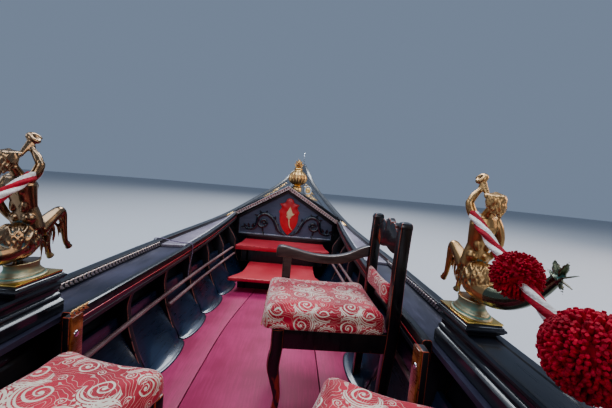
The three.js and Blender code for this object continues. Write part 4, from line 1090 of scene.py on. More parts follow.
# Gilded leaf work between the mouldings, and one oval medallion
bm = newMesh()
for hand in (1, -1):
    for i in range(15):
        x = 2560 + i * 92
        share = 0.44 + 0.07 * math.sin(i * 1.1)
        half = crownOf("fore", x)[0]
        y = hand * half * share
        here = Vector((x, centre(x) + y, deckHeight("fore", x, y) + 1))
        ahead = Vector((x + 60, centre(x + 60) + y * 0.96, deckHeight("fore", x + 60, y * 0.96) + 1))
        out = Vector((x, centre(x) + y + 40, deckHeight("fore", x, y + 40) + 1))
        way = (ahead - here).normalized()
        up = way.cross((out - here).normalized()).normalized()
        flat = Matrix((way, up.cross(way), up)).transposed().to_4x4()
        for tilt in (-0.9, 0.9, 0):
            stamp(bm, leaf, Matrix.Translation(here) @ flat @ Matrix.Rotation(tilt, 4, "Z") @ Matrix.Diagonal((1.15, 1, 0.7, 1)))
for hand in (1, -1):
    for i in range(7):
        x, y = 2290 + i * 24, hand * (575 - i * 3)
        for tilt in (0.6, -0.6):
            stamp(bm, leaf, Matrix.Translation((x, y, sheerAt(x) - 13)) @ Matrix.Rotation(tilt, 4, "Z") @ Matrix.Diagonal((1, 1, 1.3, 1)))
for i in range(4):
    for tilt in (0.5, -0.5):
        way = Matrix(((1, 0, 0, 0), (0, 0, -1, 0), (0, 1, 0, 0), (0, 0, 0, 1)))
        stamp(bm, leaf, Matrix.Translation((84 + i * 17, 447.5, 454)) @ way @ Matrix.Rotation(tilt, 4, "Z")
              @ Matrix.Diagonal((0.6, 0.4, 0.35, 1)))
piece("deckLeaves", bm, "gilt", (), sharper=60)

# An oval medallion on a short leafy foot beside the vase
medallion = {"place": (2640, -199, 768), "half": (38, 50)}
across, high = medallion["half"]
facing = Matrix.Translation(medallion["place"]) @ Matrix.Rotation(-math.radians(68), 4, "Y")
for name, radii, finish in (("medallionRing", ((1, 0), (1, 5), (0.93, 9), (0.8, 9), (0.72, 4), (0.72, 0), (1, 0)), "pale_border"),
                            ("medallionBoss", ((0, 9), (0.4, 8), (0.66, 4), (0.72, -2), (0.9, -2), (0.9, -4), (0, -4)), "gilt")):
    bm = newMesh()
    turned(bm, [(r * high, z) for r, z in radii], 36, stretch=(1, across / high, 1))
    if name == "medallionBoss":
        for tilt in (-0.5, 0, 0.5):
            stamp(bm, leaf, Matrix.Translation((-40, 0, -4)) @ Matrix.Rotation(math.pi + tilt, 4, "Z") @ Matrix.Diagonal((1.5, 1.2, 1, 1)))
        sweep(bm, [(-44, 0, -2), (-90, 0, -4)], [10, 14], 10)
    bmesh.ops.transform(bm, matrix=facing, verts=bm.verts)
    piece(name, bm, finish, sharper=60)

bm = newMesh()
outline = [(-innerHalf(-2010, z) + 1, z) for z in (400, 150, -80)] + [(innerHalf(-2010, z) - 1, z) for z in (-80, 150, 400)]
plate(bm, "x", outline + [(300, 500), (0, 540), (-300, 500)], -2029.7, -2010.3)
soften(bm, 2)
piece("sternBulkhead", bm, "lacquer", "stern_bulkhead")


# Vase on the peak: a fluted bulb with a crown of leaves and a ring of small leaves round its lower part
vase = {"x": 2690, "y": -80, "flutes": 16}
profile = flatCurve([(36, 800), (34, 806), (40, 814), (62, 826), (88, 848), (101, 876), (101, 896), (90, 926), (68, 950), (52, 964),
                     (42, 976), (40, 984)], 4)
bm = newMesh()
turned(bm, [(0, 700), (50, 700), (52, 780), (46, 790), (52, 796), (44, 802), (0, 802)], 40)
rings = []
for r, z in profile:
    depth = 0.075 * min(1, max(0, (r - 38) / 40))
    rings.append([((r * (1 - depth * (1 - abs(math.cos(a * vase["flutes"] / 2))))) * math.cos(a),
                   (r * (1 - depth * (1 - abs(math.cos(a * vase["flutes"] / 2))))) * math.sin(a), z)
                  for a in (tau * k / 96 for k in range(96))])
loft(bm, rings)
turned(bm, [(0, 980), (42, 980), (48, 986), (46, 993), (40, 998), (0, 998)], 40)
crownLeaf = leafMesh(88, 34, 6, 2)
for row, (count, tilt, size, height) in enumerate(((9, 62, 0.72, 990), (9, 74, 0.95, 992), (6, 84, 1.1, 994))):
    for i in range(count):
        around = Matrix.Rotation(tau * (i + row * 0.5) / count, 4, "Z")
        stamp(bm, crownLeaf, Matrix.Translation((0, 0, height)) @ around @ Matrix.Translation((26 - row * 8, 0, 0))
              @ Matrix.Rotation(-math.radians(tilt), 4, "Y") @ Matrix.Scale(size, 4))
for i in range(12):
    around = Matrix.Rotation(tau * i / 12, 4, "Z")
    stamp(bm, crownLeaf, Matrix.Translation((0, 0, 822)) @ around @ Matrix.Translation((56, 0, 0))
          @ Matrix.Rotation(-math.radians(52), 4, "Y") @ Matrix.Scale(0.42, 4))
piece("peakVase", bm, "gilt", "peak_vase", at=Matrix.Translation((vase["x"], vase["y"], 0)), sharper=50)


# Irons at both ends
def ironPiece(name, outline, replaced, half=6):
    bm = newMesh()
    plate(bm, "y", outline, centre(5400) - half, centre(5400) + half)
    soften(bm, 2.2, 2, 40)
    piece(name, bm, "steel", replaced, sharper=30)


face = 5400.3
teeth = [p for i in range(6) for p in ((5468, 838 + i * 56), (5584, 841 + i * 56), (5588, 846 + i * 56),
                                       (5588, 862 + i * 56), (5584, 867 + i * 56), (5468, 871 + i * 56))]
front = flatCurve([(5040, 640), (5130, 700), (5250, 758), (5360, 770), (5440, 795), (5466, 832)], 5) + teeth + flatCurve(
    [(5464, 1160), (5452, 1190), (5450, 1212), (5466, 1243), (5520, 1284), (5580, 1312), (5610, 1350), (5588, 1394), (5520, 1428),
     (5470, 1434), (5425, 1430)], 6)
back = flatCurve([(5378, 1408), (5352, 1370), (5350, 1335), (5366, 1290), (face, 1238), (face, 1160), (face, 1075)], 5) + [
    (5361, keelAt(5300) + 54), (5300, keelAt(5300) - 0.6), (5200, keelAt(5200) - 1.2), (5110, keelAt(5110) - 1.2)]
ironPiece("bowIron", front + back, "bow_iron")
ironPiece("sternIron", [(-face, 1090), (-face, 1215)] + flatCurve(
    [(-5402, 1222), (-5420, 1288), (-5442, 1318), (-5465, 1330), (-5490, 1328), (-5502, 1308), (-5498, 1284), (-5486, 1270),
     (-5470, 1274), (-5452, 1266), (-5442, 1240), (-5440, 1180), (-5436, 1100)], 4), "stern_iron")


# Rowing platform, oarlock with its block, and oar
bm = newMesh()
for k in range(3):
    box(bm, -3650, -3050, -200 + k * 134, -68 + k * 134, 778, 800)
for x in (-3610, -3130):
    verts = box(bm, x, x + 40, -180, 180, 640, 778)
soften(bm, 3)
piece("rowingPlatform", bm, "worn", "stern_platform")

lock = {"x": -2900, "half": 15, "throat": 34, "height": 950, "yaw": 25, "y": centre(-2900) - (beamAt(-2900) - 112)}
lockTurn = Matrix.Translation((lock["x"], lock["y"], lock["height"])) @ Matrix.Rotation(math.radians(-lock["yaw"]), 4, "Z")


def lockRing(across, throat, inset):
    arc = [(throat * math.cos(math.radians(a)), throat * math.sin(math.radians(a))) for a in spread(200, 430, 11.5)]
    rest = flatCurve([(20, 64), (40, 66), (54, 54), (78, 24), (86, -2), (82, -60), (66, -110), (60, -160), (74, -220), (76, -258),
                      (56, -300), (44, -340), (44, -372)], 3) + flatCurve(
        [(-44, -372), (-42, -300), (-28, -250), (-22, -200), (-34, -120), (-66, -72), (-78, -44), (-70, -31), (-48, -30)], 3)
    middle = (0, -150)
    return [(x + (middle[0] - x) * (0 if i < len(arc) else inset / 110), across, z + (middle[1] - z) * (0 if i < len(arc) else inset / 260))
            for i, (x, z) in enumerate(arc + rest)]


bm = newMesh()
loft(bm, [lockRing(y, throat, inset) for y, throat, inset in
          ((-15, 48, 10), (-14, 44, 5), (-9, 38, 1), (0, 34, 0), (9, 38, 1), (14, 44, 5), (15, 48, 10))])
piece("oarlock", bm, "walnut", "oarlock", at=lockTurn, sharper=50)

bm = newMesh()
x, y = lock["x"], lock["y"]
for hand in (1, -1):
    box(bm, x - 128, x + 128, y + hand * 22, y + hand * 42, 560, 640)
for hand in (1, -1):
    box(bm, x + hand * 56, x + hand * 128, y - 24, y + 24, 560, 637)
soften(bm, 4, 3)
piece("oarlockBlock", bm, "lacquer", "oarlock_block")

oar = {"tilt": 21, "drop": 8.3}
rows = [(-2900, 52, 5), (-2885, 66, 7), (-2840, 80, 9), (-2500, 79, 11), (-2000, 74, 13), (-1800, 54, 18), (-1600, 30, 24),
        (-1300, 24, 24), (-700, 23.5, 23.5), (-120, 22, 22), (120, 22, 22), (700, 21, 21), (1150, 19, 19),
        (1240, 19, 19), (1286, 19, 19), (1298, 16, 16), (1300, 12, 12)]
bm = newMesh()
fine = curve([(x, ry, rz) for x, ry, rz in rows], 4)
loft(bm, [[(p.x, p.y * math.cos(a), p.z * math.sin(a)) for a in (tau * k / 24 for k in range(24))] for p in fine])
oarTurn = (Matrix.Translation((lock["x"], lock["y"], lock["height"] - oar["drop"]))
           @ Matrix.Rotation(math.radians(90 - lock["yaw"]), 4, "Z") @ Matrix.Rotation(math.radians(-oar["tilt"]), 4, "Y"))
piece("oar", bm, "walnut", "oar", at=oarTurn, sharper=50, body="oar")


# Stepped mouldings beside the seats, with a plinth and plate at their fore ends
def mouldingSection(x):
    out, sheer = beamAt(x) - 44.6, sheerAt(x)
    (deckOut, outZ), (deckIn, inZ) = troughTop(x)
    inner = out - 116

    def low(y):
        return outZ + (inZ - outZ) * (deckOut - y) / (deckOut - deckIn) + 1.2

    top = sheer + 62
    return [(out, low(out)), (out, sheer + 6), (out - 4, sheer + 9), (out - 11, sheer + 12), (out - 12, sheer + 16),
            (out - 12, top - 16), (out - 9, top - 12), (out - 9, top - 4), (out - 13, top), (out - 34, top),
            (out - 38, top - 3), (out - 42, top), (out - 96, top), (out - 104, top - 2), (out - 108, top - 8), (out - 106, top - 15),
            (out - 101, top - 19), (out - 98, top - 24), (out - 98, top - 34), (out - 104, top - 37), (out - 108, top - 42),
            (out - 105, top - 47), (out - 104, sheer + 12), (out - 110, sheer + 9), (inner, sheer + 4), (inner, low(inner))]


plinth = {"from": 40, "to": 206, "middle": 600, "half": 54, "low": 495}
plinthTop = plinth["low"] + 32
for hand in (1, -1):
    side = titled(hand)
    bm = newMesh()
    run(bm, spread(-1855, 200, 60), mouldingSection, hand)
    middle = hand * plinth["middle"]

    def slab(grow, z):
        x0, x1, half = plinth["from"] - grow, plinth["to"] + grow, plinth["half"] + grow
        return [(x0, middle - half, z), (x1, middle - half, z), (x1, middle + half, z), (x0, middle + half, z)]

    loft(bm, [slab(grow, z) for grow, z in ((-16, 494.5), (-16, 499), (-12, 500.5), (-12, 503), (-8, 504.5), (-4, 508), (-3, 511),
                                            (0, 512), (0, 516), (-1.5, 518), (-5, 519), (-5, 522), (-8, 524), (-9, 527))])
    soften(bm, 0.8, 1, 60)
    piece(side + "Moulding", bm, "lacquer", "side_moulding_" + side, sharper=28)

posts = [(1, 116, 20), (-1, 82, 20)]
for hand, x, half in posts:
    side = titled(hand)
    bm = newMesh()
    box(bm, x - half, x + half, hand * 448, hand * 457, -19.7, 440)
    soften(bm, 2, 2)
    piece(side + "PostFace", bm, "varnish", "coaming_post_" + side)
    bm = newMesh()
    box(bm, x - half, x + half, hand * 457.1, hand * 476, -19.7, 439)
    soften(bm, 2, 2)
    piece(side + "Post", bm, "worn", "coaming_post_" + side)
    bm = newMesh()
    turned(bm, [(0, 3.4), (5, 3.2), (8, 2), (9, 0), (9, -1), (0, -1)], 20)
    bmesh.ops.rotate(bm, cent=(0, 0, 0), matrix=Matrix.Rotation(hand * math.pi / 2, 3, "X"), verts=bm.verts)
    bmesh.ops.translate(bm, vec=(x - 6, hand * 448, 392), verts=bm.verts)
    piece(side + "PostFitting", bm, "steel")
print("ends made")


# Armchair: turned and curved black frame, worn to red along its edges
chair = {"place": (506, -228, 2), "half": 185, "depth": 221, "apronLow": 272, "seatLow": 340, "seatTop": 420, "top": 738,
         "overhang": 63, "armPost": 142}
chairAt = place(chair["place"][0], chair["place"][1], 0, chair["place"][2])
nailHead = newMesh()
turned(nailHead, [(0, 2.6), (2.2, 2.2), (3.8, 1), (4.2, 0), (0, -0.6)], 10)
nailHead = toMesh(nailHead, "nail")


def chairFrame():
    bm = newMesh()
    half, depth, low, seat = chair["half"], chair["depth"], chair["apronLow"], chair["seatLow"] - 0.3
    side, front, rear = half - 24, depth - chair["overhang"], -depth - 18
    for hand in (1, -1):
        x = hand * side
        bar(bm, "z", [(x, front + 8, -19.7, 17, 17), (x, front + 8, -8, 19, 19), (x, front - 4, 24, 13, 13),
                      (x, front - 12, 72, 12, 12), (x, front - 12, 102, 13, 13), (x, front - 2, 152, 18, 18), (x, front + 7, 200, 22, 22),
                      (x, front + 5, 238, 23, 23), (x, front + 1, 264, 22, 22), (x, front, 284, 22, 22), (x, front, seat, 22, 22)],
            6, 20, 0.5)
        bar(bm, "z", [(x, rear + 24, -19.7, 16, 16), (x, rear + 18, 90, 16, 17), (x, rear + 10, 200, 18, 20),
                      (x, rear, seat, 19, 21), (x, rear - 1, 440, 19, 21), (x, rear - 2, 540, 19, 21), (x, rear - 5, 640, 19, 21),
                      (x, rear - 8, 706, 19, 21), (x, rear - 8, 722, 20, 22), (x, rear - 9, 734, 16, 18), (x, rear - 9, chair["top"], 8, 9)],
            6, 20, 0.8)
        box(bm, x - 11, x + 11, rear, front, low, seat)
    arm = side + 6
    bar(bm, "y", [(arm, rear, 568, 16, 24), (arm, rear + 50, 555, 18, 23), (arm, rear + 115, 526, 19, 20), (arm, -55, 513, 20, 18),
                  (arm, 30, 515, 21, 18), (arm, 110, 528, 22, 21), (arm, 156, 535, 22, 24), (arm, 178, 535, 22, 24),
                  (arm, 188, 532, 20, 20), (arm, 192.5, 529, 15, 13)], 6, 20, 0.85)
    bar(bm, "z", [(arm, chair["armPost"], low + 10, 15, 20), (arm, chair["armPost"], 420, 14.5, 19),
                  (arm, chair["armPost"], 530, 16, 20)], 4, 20, 0.85)
    box(bm, -side, side, front - 11, front + 11, low, seat)
    box(bm, -side, side, rear - 2, rear + 18, low, seat)
    rise = flatCurve([(side, 688), (124, 689), (104, 696), (84, 706)], 4) + flatCurve(
        [(84, 714), (68, 721), (52, 723), (38, 718), (26, 712)], 4) + flatCurve([(26, 722), (14, 730), (0, 735)], 4)
    drop = flatCurve([(0, 622), (44, 614), (84, 612), (124, 621), (side, 630)], 4)
    half = drop + rise
    plate(bm, "y", half + [(-x, z) for x, z in reversed(half) if x > 0], rear - 24, rear - 2)
    box(bm, -side, side, rear - 12, rear + 6, 421, 445)
    soften(bm, 2.4, 2, 34)
    for f in bm.faces:
        middle = f.calc_center_median()
        f.material_index = int(middle.x > 110 and middle.y > rear + 24 and 428 < middle.z < 620)
    return bm


piece("armchairFrame", chairFrame(), ("chair", "arm"), "chair_frame", at=chairAt, sharper=42)

bm = newMesh()
for i in range(27):
    stamp(bm, nailHead, Matrix.Translation((-158 + i * 316 / 26, chair["depth"] - 5.5, 346)) @ Matrix.Rotation(-math.pi / 2, 4, "X"))
piece("armchairNails", bm, "plate", at=chairAt, sharper=60)


# Cushions: a plain pad is blown up by a cloth simulation, and its weave is laid over top and sides
def padRings(half, front, low, high, corner, inset=8):
    def ring(z, shrink):
        w, d, found = half - shrink, front - shrink, []
        for cx, cy, start in ((w - corner, d - corner, 0), (corner - w, d - corner, 90), (corner - w, corner - d, 180),
                              (w - corner, corner - d, 270)):
            found += [(cx + corner * math.cos(math.radians(start + k * 15)), cy + corner * math.sin(math.radians(start + k * 15)), z)
                      for k in range(7)]
        return found
    return [ring(low, inset), ring(low + 6, 2), ring(low + 14, 0), ring(high - 22, 0), ring(high - 10, 5), ring(high - 3, inset + 8)]


def remeshed(made, voxel):
    mod = made.modifiers.new("remesh", "REMESH")
    mod.mode, mod.voxel_size, mod.use_smooth_shade = "VOXEL", voxel, True
    applied(made)


def applied(made):
    graph = bpy.context.evaluated_depsgraph_get()
    mesh = bpy.data.meshes.new_from_object(made.evaluated_get(graph), preserve_all_data_layers=True, depsgraph=graph)
    old = made.data
    made.modifiers.clear()
    made.data = mesh
    bpy.data.meshes.remove(old)


# Bulges the pad under pressure, then eases each corner's move back to the cap
def inflate(made, cap, pressure=4.0, hold=None):
    rest = [v.co.copy() for v in made.data.vertices]
    group = made.vertex_groups.new(name="hold")
    for v in made.data.vertices:
        if hold and hold(v.co):
            group.add([v.index], 1, "REPLACE")
    cloth = made.modifiers.new("cloth", "CLOTH")
    settings = cloth.settings
    settings.use_pressure, settings.uniform_pressure_force = True, pressure
    settings.effector_weights.gravity = 0
    settings.tension_stiffness = settings.compression_stiffness = 22
    settings.shear_stiffness, settings.bending_stiffness = 12, 0.8
    settings.vertex_group_mass = "hold"
    cloth.point_cache.frame_start, cloth.point_cache.frame_end = 1, 20
    for number in range(1, 21):
        scene.frame_set(number)
        made.evaluated_get(bpy.context.evaluated_depsgraph_get())
    applied(made)
    for v, start in zip(made.data.vertices, rest):
        move = v.co - start
        if move.length > cap:
            v.co = start + move * (cap / move.length)
    scene.frame_set(1)


def weaveOver(made, half, front, corner, top, shift=(0, 0)):
    mesh = made.data
    layer = mesh.uv_layers.new(name="weave")
    inner = Vector((half - corner, front - corner)) / 1000
    spots = []
    for v in mesh.vertices:
        flat = Vector((v.co.x, v.co.y))
        core = Vector((max(-inner.x, min(inner.x, flat.x)), max(-inner.y, min(inner.y, flat.y))))
        out = flat - core
        drop = max(0, top / 1000 - v.co.z)
        spots.append(flat + (out.normalized() * drop if out.length > 0.006 else Vector((0, 0))) + Vector(shift))
    layer.data.foreach_set("uv", [c for l in mesh.loops for c in spots[l.vertex_index]])


def cushion(name, node, rings, at, sizes, cap, carve=None, shift=(0, 0), voxel=0.006, wall=None):
    bm = newMesh()
    loft(bm, rings)
    if carve:
        carve(bm)
    bmesh.ops.recalc_face_normals(bm, faces=bm.faces)
    bmesh.ops.scale(bm, vec=(0.001, 0.001, 0.001), verts=bm.verts)
    mesh = bpy.data.meshes.new(name)
    bm.to_mesh(mesh)
    bm.free()
    made = bpy.data.objects.new(name, mesh)
    scene.collection.objects.link(made)
    remeshed(made, voxel)
    low = rings[0][0][2] / 1000
    inflate(made, cap, hold=wall or (lambda p: p.z < low + 0.003))
    smoother = made.modifiers.new("smooth", "SMOOTH")
    smoother.factor, smoother.iterations = 0.5, 3
    made.modifiers.new("finer", "SUBSURF").levels = 1
    made.modifiers["finer"].render_levels = 1
    applied(made)
    weaveOver(made, *sizes, shift)
    made.data.transform(Matrix.Scale(1, 4) @ Matrix.Translation(at.translation / 1000) @ at.to_3x3().to_4x4())
    made.data.materials.clear()
    made.data.materials.append(finishes["damask"].material)
    made.data.shade_smooth()
    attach(made, "boat")
    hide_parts(node)
    return made


cushion("armchairCushion", "chair_seat", padRings(chair["half"] - 2, chair["depth"] - 6, chair["seatLow"], chair["seatTop"] - 4, 20),
        chairAt, (185, 217, 20, 420), 0.008, shift=(0.02, 0.03))

backPad = {"half": 137, "low": 431, "high": 511, "rear": -235}


def backRings():
    half, rear = backPad["half"], backPad["rear"]
    rings = []
    for y, grow in ((-2, -12), (2, -3), (8, 0), (14, -3), (18, -14)):
        ring = []
        for cx, cz, start in ((half - 18, backPad["high"] - 18, 0), (18 - half, backPad["high"] - 18, 90),
                              (18 - half, backPad["low"] + 18, 180), (half - 18, backPad["low"] + 18, 270)):
            for k in range(6):
                a = math.radians(start + k * 18)
                x, z = cx + (18 + grow) * math.cos(a), cz + (18 + grow) * math.sin(a)
                ring.append((x, rear + y + 2, z))
        rings.append(ring)
    return rings


def uprightPad(name, node, rings, at, cap, hold, shift):
    made = cushion(name, node, rings, at, (1000, 1000, 1, 0), cap, shift=shift, voxel=0.0045, wall=hold)
    layer = made.data.uv_layers["weave"]
    local = at.inverted()
    spots = [local @ (v.co * 1000) / 1000 for v in made.data.vertices]
    layer.data.foreach_set("uv", [c for l in made.data.loops for c in (spots[l.vertex_index].x + shift[0],
                                                                      spots[l.vertex_index].z + shift[1])])


uprightPad("armchairBackPad", "chair_back_pad", backRings(), chairAt, 0.006, lambda p: False, (0.04, 0.02))

stools = [("port", -112, 318, -12, 138, 142), ("starboard", -150, -290, -22, 138, 142)]
for side, x, y, degrees, halfX, halfY in stools:
    at = place(x, y, 0, degrees)
    bm = newMesh()
    legX, legY, top = halfX - 24, halfY - 24, 334.7
    for a in (1, -1):
        for b in (1, -1):
            bar(bm, "z", [(a * legX, b * legY, -19.7, 12, 12), (a * legX, b * legY, 60, 12, 12), (a * legX, b * legY, 200, 15, 15),
                          (a * legX, b * legY, 250, 17, 17), (a * legX, b * legY, top, 17, 17)], 5, 20, 0.7)
        box(bm, -legX, legX, a * legY - 9, a * legY + 9, 270, top)
        box(bm, a * legX - 9, a * legX + 9, -legY, legY, 270, top)
    soften(bm, 2.4, 2, 34)
    piece(side + "StoolFrame", bm, "worn", "stool_frame_" + side, at=at, sharper=42)
    cushion(side + "StoolCushion", "stool_cushion_" + side, padRings(halfX - 2, halfY - 2, 335, 397, 24), at,
            (halfX, halfY, 24, 400), 0.008, shift=(0.05, 0.01) if side == "port" else (0.0, 0.06))

# Main seat: a broad base with shaped skirts, a crested back and two arms
sofa = {"front": -1030, "back": -1560, "half": 430, "seatLow": 300, "seatTop": 412, "crest": 900}
bm = newMesh()
front, back, half, high = sofa["front"], sofa["back"], sofa["half"], sofa["seatLow"] - 0.3
skirt = flatCurve([(-half, 62), (-half + 60, 64), (-half + 130, 92), (-120, 96), (-60, 80), (0, 70), (60, 80), (120, 96),
                   (half - 130, 92), (half - 60, 64), (half, 62)], 5)
for x in (front - 22, back):
    plate(bm, "x", skirt + [(half, high), (-half, high)], x, x + 22)
shape = flatCurve([(back, 62), (back + 60, 64), (back + 110, 92), (front - 110, 92), (front - 60, 64), (front, 62)], 5)
for y in (-half, half - 22):
    plate(bm, "y", shape + [(front, high), (back, high)], y, y + 22)
box(bm, back, front, -half, half, high - 16, high)
for x in (back + 24, front - 24):
    for y in (-half + 24, half - 24):
        inward = math.copysign(60, y)
        bar(bm, "z", [(x, y - inward, -19.7, 20, 20), (x, y - inward * 0.8, 10, 17, 17), (x, y - inward * 0.2, 40, 20, 20), (x, y, 70, 22, 22)],
            5, 16, 0.6)
soften(bm, 3, 2, 34)
piece("mainSeatBase", bm, "lacquer", "main_seat_base", sharper=42)

bm = newMesh()
crest = [(half + 60, 500), (half + 62, 570), (half + 56, 640), (half + 24, 700), (half - 20, 758), (half - 84, 796), (half - 160, 812),
         (206, 818), (150, 836), (104, 872), (60, 896), (0, 900)]
outline = [(half, 62), (half + 22, 260)] + flatCurve(crest, 5)
plate(bm, "x", mirrored([(y, z) for y, z in outline]), back - 30, back - 0.3)
for hand in (1, -1):
    bar(bm, "x", [(back - 30, hand * 500, 600, 20, 28), (back + 40, hand * 514, 597, 20, 22), (back + 120, hand * 528, 590, 20, 18),
                  (-1300, hand * 540, 586, 20, 16), (-1180, hand * 548, 586, 20, 16), (-1080, hand * 554, 594, 20, 18),
                  (-1020, hand * 558, 604, 20, 21), (-976, hand * 562, 612, 19, 21)], 5, 20, 0.4)
    bar(bm, "z", [(-1100, hand * 556, 512, 17, 17), (-1100, hand * 556, 524, 13, 13), (-1100, hand * 554, 550, 15, 15),
                  (-1100, hand * 552, 590, 16, 16)], 4, 16, 0.3)
soften(bm, 3.5, 2, 34)
piece("mainSeatBack", bm, "lacquer", "main_seat_back", sharper=42)
bm = newMesh()
for hand in (1, -1):
    path = [Vector((back + 1, hand * y, z)) for y, z in flatCurve([(0, 872), (50, 866), (92, 842), (140, 812), (200, 794), (280, 786),
                                                                 (350, 768), (410, 722), (444, 650), (452, 590)], 5)]
    sweep(bm, path, [7, 8, 7, 5], 10)
    for i in range(9):
        p = path[3 + i * 4]
        stamp(bm, leaf, Matrix.Translation(p) @ Matrix.Rotation(math.pi / 2, 4, "Y") @ Matrix.Rotation(i * 0.5 * hand, 4, "Z"))
piece("mainSeatCarving", bm, "gilt", sharper=60)
sofaAt = place((front + back) / 2 + 20, 0, 0, 90)
cushion("mainSeatCushion", "main_seat_cushion", padRings(414, 241, 300, 408, 38), sofaAt, (416, 243, 40, 412), 0.012, voxel=0.009)


def sofaPadRings():
    shapeOut = flatCurve([(398, 422), (408, 520), (408, 620), (382, 680), (338, 728), (240, 748), (120, 762), (0, 768)], 4)
    rings = []
    for x, inset in ((0.5, 16), (6, 6), (30, 0), (62, 0), (78, 8), (88, 26)):
        rings.append([(back + x, y * (1 - inset / 400), 590 + (z - 590) * (1 - inset / 180)) for y, z in mirrored(shapeOut)])
    return rings


made = cushion("mainSeatBackPad", "main_seat_back_pad", sofaPadRings(), Matrix.Identity(4), (1000, 1000, 1, 0), 0.010, voxel=0.009,
               wall=lambda p: p.x < back / 1000 + 0.004)
layer = made.data.uv_layers["weave"]
layer.data.foreach_set("uv", [c for l in made.data.loops for c in (made.data.vertices[l.vertex_index].co.y,
                                                                   made.data.vertices[l.vertex_index].co.z)])
print("seats made")


# Cast figures: rider's trunk on a furred sea beast with raised forelegs and a finned tail
figure = {"middle": 600, "base": plinthTop + 4, "voxel": 0.0021, "locks": 170}


def polar(centreAt, radii, around, up):
    c, r = Vector(centreAt), Vector(radii)
    return c + Vector((r.x * math.cos(up) * math.cos(around), r.y * math.cos(up) * math.sin(around), r.z * math.sin(up)))


